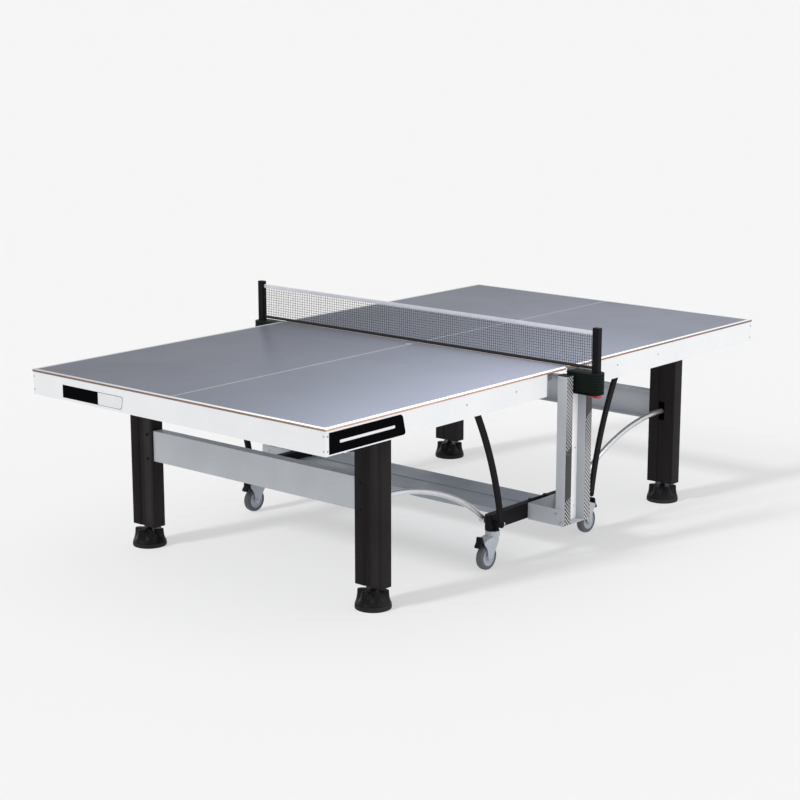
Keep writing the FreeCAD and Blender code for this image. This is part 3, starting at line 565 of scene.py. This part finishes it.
def makeBoard(side):
    node = "board_" + side
    low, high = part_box(node)
    bm = bmesh.new()
    made = cube(bm, low, high)
    netX = low[0] if sides[side] > 0 else high[0]
    for wide, radius, segments in ((True, boardShape["netCorner"], 8), (False, boardShape["endCorner"], 4)):
        uprights = [e for e in bm.edges if alongAxis(e, 2) and (abs(e.verts[0].co.x - netX) < 0.001) == wide]
        soften(bm, uprights, radius, segments)
    rims = [e for e in bm.edges if abs(e.verts[0].co.z - e.verts[1].co.z) < 0.00001 and len(e.link_faces) == 2 and e.calc_face_angle(0) > 1.0]
    soften(bm, rims, boardShape["edge"])
    bm.normal_update()
    for face in bm.faces:
        face.material_index = 0 if face.normal.z > 0.5 else 2 if face.normal.z < -0.5 else 1
    addPiece("boardTop_" + side, bm, ["playingTop", "coreEdge", "boardBack"], rides(node), [node], 30)


for side in sides:
    makeBoard(side)
print("boards made")

# ---- rails and their screws ----------------------------------------

railTrim = {"decalGap": 0.0002, "screwRadius": 0.0052, "screwHeight": 0.0018}


def solidsOf(node):
    # the boxes of each separate solid in a node
    bm = bmesh.new()
    bm.from_mesh(frame["nodes"][node].data)
    bmesh.ops.remove_doubles(bm, verts=bm.verts, dist=0.00001)
    left = set(bm.verts)
    boxes = []
    while left:
        seed = left.pop()
        group = [seed]
        frontier = [seed]
        while frontier:
            vert = frontier.pop()
            for edge in vert.link_edges:
                other = edge.other_vert(vert)
                if other in left:
                    left.discard(other)
                    group.append(other)
                    frontier.append(other)
        low = Vector([min(v.co[i] for v in group) for i in range(3)])
        high = Vector([max(v.co[i] for v in group) for i in range(3)])
        boxes.append((low, high))
    bm.free()
    return boxes


def makeRailScrews(side):
    node = "rail_screws_" + side
    bm = bmesh.new()
    for low, high in solidsOf(node):
        size = high - low
        centre = (low + high) / 2
        axis = min(range(3), key=lambda i: size[i])
        outward = Vector((0, 0, 0))
        outward[axis] = 1.0 if centre[axis] > 0 else -1.0
        radius = max(size) / 2
        base = centre - outward * size[axis] / 2
        buttonHead(bm, base, outward, radius, size[axis])
    addPiece("railScrews_" + side, bm, "zinc", rides(node), [node], 40)


for side in sides:
    cadCopy("side_rails_" + side, "sideRails_" + side, "whitePaint", 0.0)
    cadCopy("end_rail_" + side, "endRail_" + side, "whitePaint", 0.0)
    makeRailScrews(side)
print("rails made")

# plain printed panels in place of the maker's lettering
panels = {
    "longPanel": {"left": -1.353, "right": -0.962, "low": 0.6690, "high": 0.7440, "slant": 0.018},
    "longStripe": {"left": -1.300, "right": -1.020, "low": 0.7010, "high": 0.7110},
    "endPlate": {"from": 0.3850, "to": 0.5850, "low": 0.6745, "high": 0.7235},
    "endBadge": {"from": 0.2450, "to": 0.3835, "low": 0.6760, "high": 0.7220, "round": 0.012, "rim": 0.0015, "slant": 0.010},
}


def rounded(corners):
    # corners as (across, up, radius)
    outline = []
    for i, (u, v, radius) in enumerate(corners):
        here = Vector((u, v))
        if radius == 0.0:
            outline.append((u, v))
            continue
        legs = [(Vector(corners[j][:2]) - here).normalized() * radius for j in (i - 1, (i + 1) % len(corners))]
        for k in range(7):
            t = k / 6
            point = here + legs[0] * (1 - t) ** 2 + legs[1] * t ** 2
            outline.append((point.x, point.y))
    return outline


def flatPanel(name, outline, plane, place, push, finishName, roundBy=0.0):
    bm = bmesh.new()
    slab(bm, outline, push, place, plane, roundBy)
    return addPiece(name, bm, finishName, "top_left", smooth=30)


def makePanels():
    railLow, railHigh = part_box("side_rails_left")
    look = panels["longPanel"]
    faceY = railLow[1]
    corners = [(look["left"], look["low"], 0.0), (look["right"], look["low"], 0.014), (look["right"] - look["slant"], look["high"], 0.016), (look["left"], look["high"], 0.0)]
    flatPanel("longPanel", rounded(corners), "xz", (0, faceY - 0.0003, 0), 0.0006, "decalBlack")
    stripe = panels["longStripe"]
    outline = [(stripe["left"], stripe["low"]), (stripe["right"], stripe["low"]), (stripe["right"], stripe["high"]), (stripe["left"], stripe["high"])]
    flatPanel("longPanelStripe", outline, "xz", (0, faceY - 0.0005, 0), 0.0006, "decalWhite", 0.003)
    endLow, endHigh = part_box("end_rail_left")
    faceX = endLow[0]
    look = panels["endPlate"]
    outline = [(look["from"], look["low"]), (look["to"], look["low"]), (look["to"], look["high"]), (look["from"], look["high"])]
    flatPanel("endPlate", outline, "yz", (faceX - 0.0003, 0, 0), 0.0006, "decalBlack")
    look = panels["endBadge"]
    for grow, proud, finishName, tag in ((look["rim"], 0.0003, "decalBlack", "Rim"), (0.0, 0.0005, "decalWhite", "")):
        low, high, near, off = look["low"] - grow, look["high"] + grow, look["from"] - grow, look["to"] + grow
        corners = [(near + look["slant"], low, look["round"]), (off, low, 0.0), (off, high, 0.0), (near, high, look["round"])]
        flatPanel("endBadge" + tag, rounded(corners), "yz", (faceX - proud, 0, 0), 0.0006, finishName)


makePanels()
print("panels made")

# ---- plain carried shapes ------------------------------------------

carried = {
    "subframe": ("framePaint", "frame_steel"), "leg_shaft": ("zinc", "zinc"), "slide_blocks": ("nylon", "nylon"),
    "crossbar": ("lightGreyPaint", "grey_steel"), "arms": ("blackPaint", "black_steel"), "stays": ("silver", "silver_tube"),
    "leg_near": ("legAnodised", "black_alloy"), "leg_far": ("legAnodised", "black_alloy"),
}
for side in sides:
    for node, (finishName, slotName) in carried.items():
        nameParts = node.split("_")
        pieceName = nameParts[0] + "".join(p.capitalize() for p in nameParts[1:])
        cadCopy(node + "_" + side, pieceName + "_" + side, finishName, smooth=40.0, flatten=node not in ("stays", "arms"))
for row in rows:
    for side in sides:
        cadCopy("post_%s_%s" % (row, side), "post_%s_%s" % (row, side), "postPaint", smooth=32.0)
for node, pieceName, finishName, slotName in (
    ("post_caps", "postCaps", "blackPlastic", "black_plastic"), ("web_plates", "webPlates", "webPaint", "white_steel"),
    ("beams", "beams", "blackPaint", "black_steel"), ("centre_tray", "centreTray", "trayPaint", "grey_steel"),
    ("base_brackets", "baseBrackets", "lightGreyPaint", "grey_steel"), ("stop_buffers", "stopBuffers", "rubber", "black_rubber"),
    ("chassis_bolts", "chassisBolts", "zinc", "zinc"), ("net_posts", "netPosts", "blackPaint", "black_alloy"),
):
    cadCopy(node, pieceName, finishName, smooth=38.0)
print("carried shapes made")

# ---- net ------------------------------------------------------------

netShape = {"cell": 0.0104, "thread": 0.0006, "band": 0.012, "sway": 0.0004, "tapeSegments": 90, "tapeWall": 0.0007, "seed": 7}


def makeNet():
    low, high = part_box("net_mesh")
    tapeLow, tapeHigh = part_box("net_tape")
    midX = (low[0] + high[0]) / 2
    draw = random.Random(netShape["seed"])
    bm = bmesh.new()
    radius = netShape["thread"]
    width = high[1] - low[1]
    height = tapeLow[2] + 0.002 - low[2]
    upright = round(width / netShape["cell"])
    for i in range(upright + 1):
        y = low[1] + radius + (width - 2 * radius) * i / upright
        made = cube(bm, (midX - radius, y - radius, low[2]), (midX + radius, y + radius, low[2] + height))
        lean = draw.uniform(-1, 1) * netShape["sway"] * 2
        for vert in made:
            vert.co.y = min(max(vert.co.y + (lean if vert.co.z > low[2] + 0.01 else 0), low[1]), high[1])
    level = round(height / netShape["cell"])
    for j in range(1, level):
        z = low[2] + height * j / level
        pieces = 40
        made = cube(bm, (midX - radius, low[1], z - radius), (midX + radius, high[1], z + radius))
        long = [e for e in edgesOf(made) if alongAxis(e, 1)]
        cut = bmesh.ops.subdivide_edges(bm, edges=long, cuts=pieces)
        shift = [draw.uniform(-1, 1) * netShape["sway"] for _ in range(pieces + 2)]
        for vert in {v for g in cut["geom_inner"] if isinstance(g, bmesh.types.BMVert) for v in [g]}:
            k = int((vert.co.y - low[1]) / width * pieces)
            vert.co.z += shift[min(k, pieces + 1)]
    net = addPiece("net", bm, "yarn", "chassis", ["net_mesh"], 30)
    return net


def foldedStrip(name, profile, y0, y1, finishName, replaced):
    # a strip folded about its edge: an open profile in X and Z, drawn along Y and given its thickness
    bm = bmesh.new()
    draw = random.Random(netShape["seed"] + len(name))
    points = [bm.verts.new((x, y0, z)) for x, z in profile]
    edges = [bm.edges.new(pair) for pair in zip(points, points[1:])]
    steps = netShape["tapeSegments"]
    last = edges
    for i in range(steps):
        grown = bmesh.ops.extrude_edge_only(bm, edges=last)["geom"]
        verts = [g for g in grown if isinstance(g, bmesh.types.BMVert)]
        last = [g for g in grown if isinstance(g, bmesh.types.BMEdge) and abs(g.verts[0].co.y - g.verts[1].co.y) < 1e-6 and g.verts[0] in verts and g.verts[1] in verts]
        bmesh.ops.translate(bm, vec=(0, (y1 - y0) / steps, 0), verts=verts)
    for vert in bm.verts:
        wave = sin(vert.co.y * 31.0) * 0.5 + sin(vert.co.y * 77.0 + 1.0) * 0.3
        vert.co.x += wave * 0.0003 * (1 if vert.co.x > 0 else -1)
        vert.co.z += draw.uniform(-1, 1) * 0.00008
    bmesh.ops.recalc_face_normals(bm, faces=bm.faces)
    bmesh.ops.solidify(bm, geom=bm.faces[:], thickness=netShape["tapeWall"])
    strip = addPiece(name, bm, finishName, "chassis", replaced, 50)
    return strip


def makeTape():
    low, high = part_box("net_tape")
    half = (high[0] - low[0]) / 2 - 0.0005
    arch = [(half * cos(a), high[2] - half - 0.0004 + half * sin(a)) for a in [radians(d) for d in range(0, 181, 30)]]
    profile = [(half, low[2])] + arch + [(-half, low[2])]
    foldedStrip("netTape", profile, low[1], high[1], "tapeCloth", ["net_tape"])
    low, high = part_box("net_mesh")
    half = 0.0015
    top = low[2] + netShape["band"]
    arch = [(half * cos(a), low[2] + half + half * sin(a)) for a in [radians(-d) for d in range(0, 181, 30)]]
    profile = [(half, top)] + arch + [(-half, top)]
    foldedStrip("netBand", profile, low[1], high[1], "bandCloth", [])


makeNet()
makeTape()
print("net made")

# ---- net brackets ---------------------------------------------------

bracketShape = {"ribs": 9, "ribProud": 0.0016, "ribShare": 0.62, "round": 0.030, "outerRise": 0.0150}


def makeNetBrackets():
    low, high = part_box("net_brackets")
    bm = bmesh.new()
    for row, sign in rows.items():
        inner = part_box("web_plates")[1][1] + 0.0004
        outer = high[1]
        corners = [bm.verts.new((x, y * sign, low[2])) for x, y in ((low[0], inner), (high[0], inner), (high[0], outer), (low[0], outer))]
        face = bm.faces.new(corners)
        outerEnds = [v for v in corners if abs(v.co.y) > (inner + outer) / 2]
        bmesh.ops.bevel(bm, geom=outerEnds, offset=bracketShape["round"], offset_type="OFFSET", segments=7, profile=0.5, affect="VERTICES", material=-1)
        face = [f for f in bm.faces if all(v.co.y * sign > 0 for v in f.verts)][0]
        centre = Vector((0, (inner + outer) / 2 * sign, 0))
        bottomRing = list(face.verts)
        ribs = bracketShape["ribs"]
        pitch = (high[2] - low[2]) / ribs
        width = high[0] - low[0]
        slim = 1 - 2 * bracketShape["ribProud"] / width
        current = face
        for i in range(ribs):
            for step, (rise, scale) in enumerate(((pitch * bracketShape["ribShare"], 1.0), (0.0003, slim), (pitch * (1 - bracketShape["ribShare"]) - 0.0006, 1.0), (0.0003, 1 / slim))):
                if i == ribs - 1 and step == 1:
                    break
                grown = bmesh.ops.extrude_face_region(bm, geom=[current])["geom"]
                top = [g for g in grown if isinstance(g, bmesh.types.BMFace)][0]
                if current.is_valid and current is not face:
                    bmesh.ops.delete(bm, geom=[current], context="FACES_ONLY")
                verts = list(top.verts)
                bmesh.ops.translate(bm, vec=(0, 0, rise), verts=verts)
                if scale != 1.0:
                    bmesh.ops.scale(bm, vec=(scale, scale, 1.0), space=Matrix.Translation(-centre), verts=verts)
                current = top
        for vert in current.verts:
            vert.co.z = min(vert.co.z, high[2])
        soften(bm, list(current.edges), 0.002, 3)
        sides2 = [e for e in bm.edges if alongAxis(e, 1) and abs(e.verts[0].co.z - low[2]) < 0.0001 and e.verts[0].co.y * sign > 0]
        bmesh.ops.subdivide_edges(bm, edges=sides2, cuts=8)
        for vert in bm.verts:
            if vert.co.y * sign > 0 and vert.co.z < low[2] + 0.0001:
                share = (abs(vert.co.y) - inner) / (outer - inner)
                vert.co.z += bracketShape["outerRise"] * min(1.0, share * 2.2) ** 0.8 * (1.0 if share < 0.6 else 1.0 - 0.15 * (share - 0.6))
    addPiece("netBrackets", bm, "greenBlackMoulding", "chassis", ["net_brackets"], 40)


makeNetBrackets()
print("net brackets made")

# ---- lock lever -----------------------------------------------------

leverShape = {"low": 0.656, "high": 0.6755, "inner": -0.866, "round": 0.005}


def makeLever():
    low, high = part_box("lock_lever")
    bm = bmesh.new()
    softBox(bm, (low[0], low[1], leverShape["low"]), (high[0], leverShape["inner"], leverShape["high"]), leverShape["round"], 4)
    for i in range(3):
        x = (i - 1) * 0.009
        softBox(bm, (x - 0.0022, low[1] - 0.0002, leverShape["low"] - 0.0012), (x + 0.0022, low[1] + 0.024, leverShape["low"] + 0.002), 0.001)
    addPiece("lockLever", bm, "redGloss", "lock_lever", ["lock_lever"], 40)


makeLever()
print("lever made")

# ---- feet -----------------------------------------------------------

footShape = {"lobes": 6, "steps": 72, "rings": 18, "scoop": 0.55, "rim": 0.004}


def makeFoot(row, side):
    baseNode = "foot_base_%s_%s" % (row, side)
    low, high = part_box(baseNode)
    centre = (low + high) / 2
    radius = (high.x - low.x) / 2
    tall = high.z - low.z
    bm = bmesh.new()
    lathe(bm, [(0.0, 0.0), (radius - 0.004, 0.0), (radius - 0.001, 0.001), (radius, 0.004), (radius, 0.009), (radius - 0.0008, tall - 0.002), (radius - 0.003, tall), (0.012, tall), (0.0, tall)],
          (centre.x, centre.y, low.z), steps=64)
    addPiece("footBase_%s_%s" % (row, side), bm, "rubber", rides(baseNode), [baseNode], 40)
    knobNode = "foot_knob_%s_%s" % (row, side)
    low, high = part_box(knobNode)
    bottom = tall + 0.0003
    top = 0.070
    flare, waist = 0.0662, 0.0585
    profile = [(0.0, bottom), (flare - 0.002, bottom), (flare, bottom + 0.002)]
    rings = footShape["rings"]
    for i in range(1, rings + 1):
        t = i / rings
        profile.append((waist + (flare - waist) * (1 - t) ** 2.4, bottom + 0.002 + (top - 0.004 - bottom - 0.002) * t))
    profile += [(waist - 0.0012, top - 0.0012), (waist - 0.004, top)]
    profile += [(waist - 0.004 - (waist - 0.004 - 0.016) * k / 5, top) for k in range(1, 6)]
    profile += [(0.0118, top + 0.001), (0.0105, top + 0.004), (0.010, top + 0.006), (0.010, high.z), (0.0, high.z)]
    bm = bmesh.new()
    made = lathe(bm, profile, (0, 0, 0), steps=footShape["steps"])
    for vert in made:
        r = Vector((vert.co.x, vert.co.y)).length
        if r > 0.0165 and vert.co.z > bottom + 0.003 and vert.co.z <= top + 0.0005:
            angle = Vector((vert.co.x, vert.co.y)).angle_signed(Vector((1, 0)))
            lobe = 0.5 - 0.5 * cos(footShape["lobes"] * angle)
            t = (vert.co.z - bottom) / (top - bottom)
            share = (lobe ** 1.3) * (t ** 1.5) * footShape["scoop"]
            factor = 1 - share * min(1.0, (r - 0.0165) / 0.03)
            vert.co.x *= factor
            vert.co.y *= factor
    bmesh.ops.translate(bm, vec=(centre.x, centre.y, 0), verts=bm.verts)
    addPiece("footKnob_%s_%s" % (row, side), bm, "blackPlastic", rides(knobNode), [knobNode], 50)


for row in rows:
    for side in sides:
        makeFoot(row, side)
print("feet made")

# ---- casters --------------------------------------------------------

casterShape = {
    "cheek": 0.0042, "hoodWall": 0.003, "crown": 0.024, "cup": 0.0285, "neck": 0.014, "hub": 0.034, "hubBoss": 0.015,
    # the cheek's outline outward of the swivel axis, and its height
    "outline": [(-0.014, 0.1295), (0.024, 0.1295), (0.050, 0.126), (0.072, 0.1175), (0.073, 0.108), (0.064, 0.099), (0.056, 0.086), (0.0515, 0.070), (0.0505, 0.052),
                (0.047, 0.0425), (0.038, 0.0375), (0.029, 0.0415), (0.020, 0.053), (0.008, 0.072), (-0.006, 0.094), (-0.014, 0.110)],
}


def makeCaster(row, side):
    sign = sides[side]
    tag = "%s_%s" % (row, side)
    forkNode, wheelNode, pedalNode = "caster_fork_" + tag, "wheel_" + tag, "brake_pedal_" + tag
    low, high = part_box(wheelNode)
    axle = (low + high) / 2
    swivelX = axle.x - sign * 0.038
    centreY = axle.y
    wide = (high.y - low.y) / 2 + 0.001

    bm = bmesh.new()
    for y0 in (centreY - wide - casterShape["cheek"], centreY + wide):
        outline = [(swivelX + sign * a, b) for a, b in casterShape["outline"]]
        slab(bm, outline, casterShape["cheek"], (0, y0, 0), "xz", 0.0, 0.0008)
    y0, y1 = centreY - wide - casterShape["cheek"] * 0.5, centreY + wide + casterShape["cheek"] * 0.5
    roof = [(-0.014, 0.1295), (0.024, 0.1295), (0.050, 0.126), (0.0715, 0.1175), (0.071, 0.1135), (0.049, 0.1215), (0.024, 0.1245), (-0.014, 0.1245)]
    slab(bm, [(swivelX + sign * a, b) for a, b in roof], y1 - y0, (0, y0, 0), "xz")
    crown = casterShape["crown"]
    lathe(bm, [(0.0, 0.119), (crown - 0.001, 0.119), (crown, 0.1205), (crown, 0.1285), (crown - 0.001, 0.1295), (0.009, 0.1295), (0.008, 0.131), (0.008, 0.166), (0.0, 0.166)], (swivelX, centreY, 0), steps=40)
    cup = casterShape["cup"]
    lathe(bm, [(crown - 0.001, 0.1265), (cup - 0.0012, 0.1265), (cup, 0.1280), (cup, 0.1470), (cup - 0.0012, 0.1485), (cup - 0.0016, 0.1485), (0.02545, 0.1465), (0.02545, 0.1296), (crown - 0.001, 0.1292)],
          (swivelX, centreY, 0), steps=40)
    for outward in (-1, 1):
        start = centreY + outward * (wide + casterShape["cheek"])
        lathe(bm, [(0.0, -0.004), (0.0105, -0.004), (0.0105, 0.0012), (0.0095, 0.002), (0.0065, 0.0022), (0.006, 0.0042), (0.0045, 0.005), (0.0, 0.0052)], (axle.x, start, axle.z), (0, outward, 0), 20)
    addPiece("casterFork_" + tag, bm, "forkPlastic", rides(forkNode), [forkNode], 38)

    half = (high.y - low.y) / 2 - 0.0018
    radius = (high.z - low.z) / 2
    bm = bmesh.new()
    hub = casterShape["hub"]
    tyre = [(hub, -half + 0.002), (hub + 0.002, -half), (radius - 0.007, -half), (radius - 0.0025, -half + 0.0025), (radius - 0.0006, -half + 0.007), (radius, 0.0),
            (radius - 0.0006, half - 0.007), (radius - 0.0025, half - 0.0025), (radius - 0.007, half), (hub + 0.002, half), (hub, half - 0.002), (hub, -half + 0.002)]
    lathe(bm, tyre, axle, (0, 1, 0), 56)
    for face in bm.faces:
        face.material_index = 0
    before = set(bm.faces)
    disc = [(0.0, -half + 0.006), (0.0055, -half + 0.006)]
    wheelProfile = [(0.0, -half - 0.0012), (0.009, -half - 0.0012), (0.010, -half), (0.0105, -half + 0.0035), (0.020, -half + 0.005), (0.028, -half + 0.0035), (0.030, -half + 0.0008), (hub - 0.0004, -half + 0.0008),
                    (hub - 0.0002, -half + 0.003), (hub - 0.0002, half - 0.003), (hub - 0.0004, half - 0.0008), (0.030, half - 0.0008), (0.028, half - 0.0035), (0.020, half - 0.005), (0.0105, half - 0.0035),
                    (0.010, half), (0.009, half + 0.0012), (0.0, half + 0.0012)]
    lathe(bm, wheelProfile, axle, (0, 1, 0), 56)
    for face in bm.faces:
        if face not in before:
            face.material_index = 1
    addPiece("casterWheel_" + tag, bm, ["tyreRubber", "hubPlastic"], rides(wheelNode), [wheelNode], 32)

    low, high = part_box(pedalNode)
    pinX = swivelX + sign * 0.032
    halfWide = (high.y - low.y) / 2
    bm = bmesh.new()
    arm = [(-0.0055, 0.114), (0.0, 0.1107), (0.035, 0.1135), (0.046, 0.108), (0.050, 0.100), (0.056, 0.0945), (0.064, 0.096), (0.0655, 0.103), (0.060, 0.110), (0.0545, 0.118), (0.0535, 0.130), (0.050, 0.1375),
           (0.043, 0.1365), (0.0395, 0.128), (0.038, 0.1195), (0.0, 0.1215), (-0.0055, 0.119)]
    slab(bm, [(pinX + sign * a, b) for a, b in arm], 2 * halfWide, (0, centreY - halfWide, 0), "xz", 0.0, 0.0022)
    for i in range(4):
        y = centreY + (i - 1.5) * 0.0058
        softBox(bm, (min(pinX + sign * 0.052, pinX + sign * 0.0556), y - 0.0012, 0.116), (max(pinX + sign * 0.052, pinX + sign * 0.0556), y + 0.0012, 0.131), 0.0005)
    addPiece("brakePedal_" + tag, bm, "blackPlastic", rides(pedalNode), [pedalNode], 40)


for row in rows:
    for side in sides:
        makeCaster(row, side)
print("casters made")

# ---- small fittings -------------------------------------------------

fittings = {"bolt": 0.0052, "boltTall": 0.0035, "postScrew": 0.0036}


def makeFittings():
    bm = bmesh.new()
    for sx in (-1, 1):
        for sy in (-1, 1):
            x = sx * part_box("post_near_right")[1][0]
            for z in (0.728,):
                buttonHead(bm, (x, sy * 0.780, z), (sx, 0, 0), fittings["postScrew"], 0.0016)
            for z in (0.204, 0.437):
                buttonHead(bm, (sx * 0.029, sy * 0.7772, z), (0, sy, 0), 0.0032, 0.0015)
            for y, z in ((0.775, 0.194), (0.799, 0.1605)):
                buttonHead(bm, (sx * 0.0882, sy * y, z), (sx, 0, 0), 0.0048, 0.0024)
    addPiece("chassisScrews", bm, "zinc", "chassis", smooth=40)
    bm = bmesh.new()
    low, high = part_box("stop_buffers")
    for sy in (-1, 1):
        y = sy * (abs(low[1]) + abs(high[1])) / 2 - sy * 0.011
        softBox(bm, (low[0] + 0.012, y - 0.007, low[2] + 0.0004), (high[0] - 0.012, y + 0.007, low[2] + 0.0048), 0.0012)
    addPiece("bufferBars", bm, "blackPaint", "chassis", smooth=40)
    bm = bmesh.new()
    beamLow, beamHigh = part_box("beams")
    for sx in (-1, 1):
        for sy in (-1, 1):
            buttonHead(bm, (sx * 0.2413, sy * 0.642, 0.1635), (0, sy, 0), 0.0065, 0.004)
    addPiece("beamButtons", bm, "nylon", "chassis", smooth=40)
    for side, sign in sides.items():
        bm = bmesh.new()
        low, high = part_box("leg_near_" + side)
        outerX = low[0] if sign < 0 else high[0]
        for sy in (-1, 1):
            for z in (0.3643, 0.4626):
                buttonHead(bm, (outerX, sy * 0.5645, z), (sign, 0, 0), fittings["bolt"], fittings["boltTall"])
        addPiece("legBolts_" + side, bm, "blackPlastic", "legs_" + side, smooth=40)
    bm = bmesh.new()
    softBox(bm, (-0.060, -0.012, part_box("board_left")[1][2]), (-0.030, 0.012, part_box("board_left")[1][2] + 0.0022), 0.0007)
    addPiece("centrePlate", bm, "silver", "top_left", smooth=40)


makeFittings()
print("fittings made")

# ---- floor, light and camera ---------------------------------------

stageLook = {
    "floorColour": 0.30, "floorGlow": 0.50, "floorSize": 1600.0, "world": 0.84,
    "camera": (-5.705, -4.810, 2.170), "turn": (77.521, 0.0, -49.328), "lens": 83.43,
}
suns = {
    "keySun": {"energy": 0.45, "angle": 24.0, "height": 36.0, "travel": (0.969, -0.247), "takes": None, "stops": "standing"},
    "sideSun": {"energy": 0.50, "angle": 50.0, "height": 22.0, "travel": (-0.10, 0.995), "takes": "table", "stops": None},
    "floorSun": {"energy": 3.0, "angle": 9.0, "height": 30.0, "travel": (0.969, -0.247), "takes": "ground", "stops": "standing"},
}
softBoxes = {
    "nearBox": {"energy": 10.0, "size": (2.6, 1.2), "place": (0.3, -2.7, 2.3), "aim": (0.2, -0.55, 0.76), "takes": "table"},
    "cornerBox": {"energy": 38.0, "size": (1.6, 0.7), "place": (-1.20, -1.45, 1.35), "aim": (-1.05, -0.70, 0.76), "takes": "tops"},
    "netSideBox": {"energy": 9.0, "size": (0.8, 0.6), "place": (-0.15, -1.15, 1.45), "aim": (-0.20, -0.55, 0.76), "takes": "tops"},
    "rightBox": {"energy": 25.0, "size": (1.8, 1.2), "place": (1.05, -0.95, 2.35), "aim": (0.85, -0.35, 0.76), "takes": "tops"},
}
aboveLegs = ("boardTop", "sideRails", "endRail", "subframe", "net", "railScrews", "longPanel", "endPlate", "endBadge", "centrePlate", "lockLever")


def lightGroups():
    groups = {name: bpy.data.collections.new(name) for name in ("table", "standing", "ground", "tops")}
    for thing in list(bpy.context.scene.objects):
        if thing.type != "MESH":
            continue
        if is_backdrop(thing):
            groups["ground"].objects.link(thing)
            continue
        groups["table"].objects.link(thing)
        if thing.name.startswith("boardTop"):
            groups["tops"].objects.link(thing)
        if not thing.hide_render and not thing.name.startswith(aboveLegs):
            groups["standing"].objects.link(thing)
    return groups


def makeStage():
    bm = bmesh.new()
    bmesh.ops.create_grid(bm, x_segments=1, y_segments=1, size=stageLook["floorSize"] / 2)
    mesh = bpy.data.meshes.new("floor")
    bm.to_mesh(mesh)
    bm.free()
    floor = bpy.data.objects.new("floor", mesh)
    bpy.context.scene.collection.objects.link(floor)
    material = bpy.data.materials.new("paleFloor")
    material.use_nodes = True
    shader = material.node_tree.nodes["Principled BSDF"]
    shader.inputs["Base Color"].default_value = rgb([stageLook["floorColour"]] * 3)
    shader.inputs["Roughness"].default_value = 0.9
    shader.inputs["Specular IOR Level"].default_value = 0.0
    shader.inputs["Emission Color"].default_value = (1, 1, 1, 1)
    shader.inputs["Emission Strength"].default_value = stageLook["floorGlow"]
    mesh.materials.append(material)
    floor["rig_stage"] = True

    world = bpy.data.worlds.new("studio")
    bpy.context.scene.world = world
    world.use_nodes = True
    background = world.node_tree.nodes["Background"]
    background.inputs["Color"].default_value = (1, 1, 1, 1)
    background.inputs["Strength"].default_value = stageLook["world"]

    groups = lightGroups()
    for name, look in suns.items():
        data = bpy.data.lights.new(name, "SUN")
        data.energy = look["energy"]
        data.angle = radians(look["angle"])
        lamp = bpy.data.objects.new(name, data)
        height = radians(look["height"])
        travel = Vector((look["travel"][0] * cos(height), look["travel"][1] * cos(height), -sin(height)))
        lamp.rotation_euler = travel.to_track_quat("-Z", "Y").to_euler()
        if look["takes"]:
            lamp.light_linking.receiver_collection = groups[look["takes"]]
        if look["stops"]:
            lamp.light_linking.blocker_collection = groups[look["stops"]]
        bpy.context.scene.collection.objects.link(lamp)
    for name, look in softBoxes.items():
        data = bpy.data.lights.new(name, "AREA")
        data.shape = "RECTANGLE"
        data.size, data.size_y = look["size"]
        data.energy = look["energy"]
        data.specular_factor = 0.0
        lamp = bpy.data.objects.new(name, data)
        lamp.location = look["place"]
        lamp.rotation_euler = (Vector(look["aim"]) - Vector(look["place"])).to_track_quat("-Z", "Y").to_euler()
        lamp.light_linking.receiver_collection = groups[look["takes"]]
        bpy.context.scene.collection.objects.link(lamp)

    cameraData = bpy.data.cameras.new("camera")
    cameraData.lens = stageLook["lens"]
    cameraData.sensor_width = 36.0
    cameraData.clip_end = 3000.0
    camera = bpy.data.objects.new("camera", cameraData)
    camera.location = stageLook["camera"]
    camera.rotation_euler = [radians(a) for a in stageLook["turn"]]
    bpy.context.scene.collection.objects.link(camera)
    bpy.context.scene.camera = camera


makeStage()
bpy.context.scene.view_settings.view_transform = "Standard"
print("stage ready")
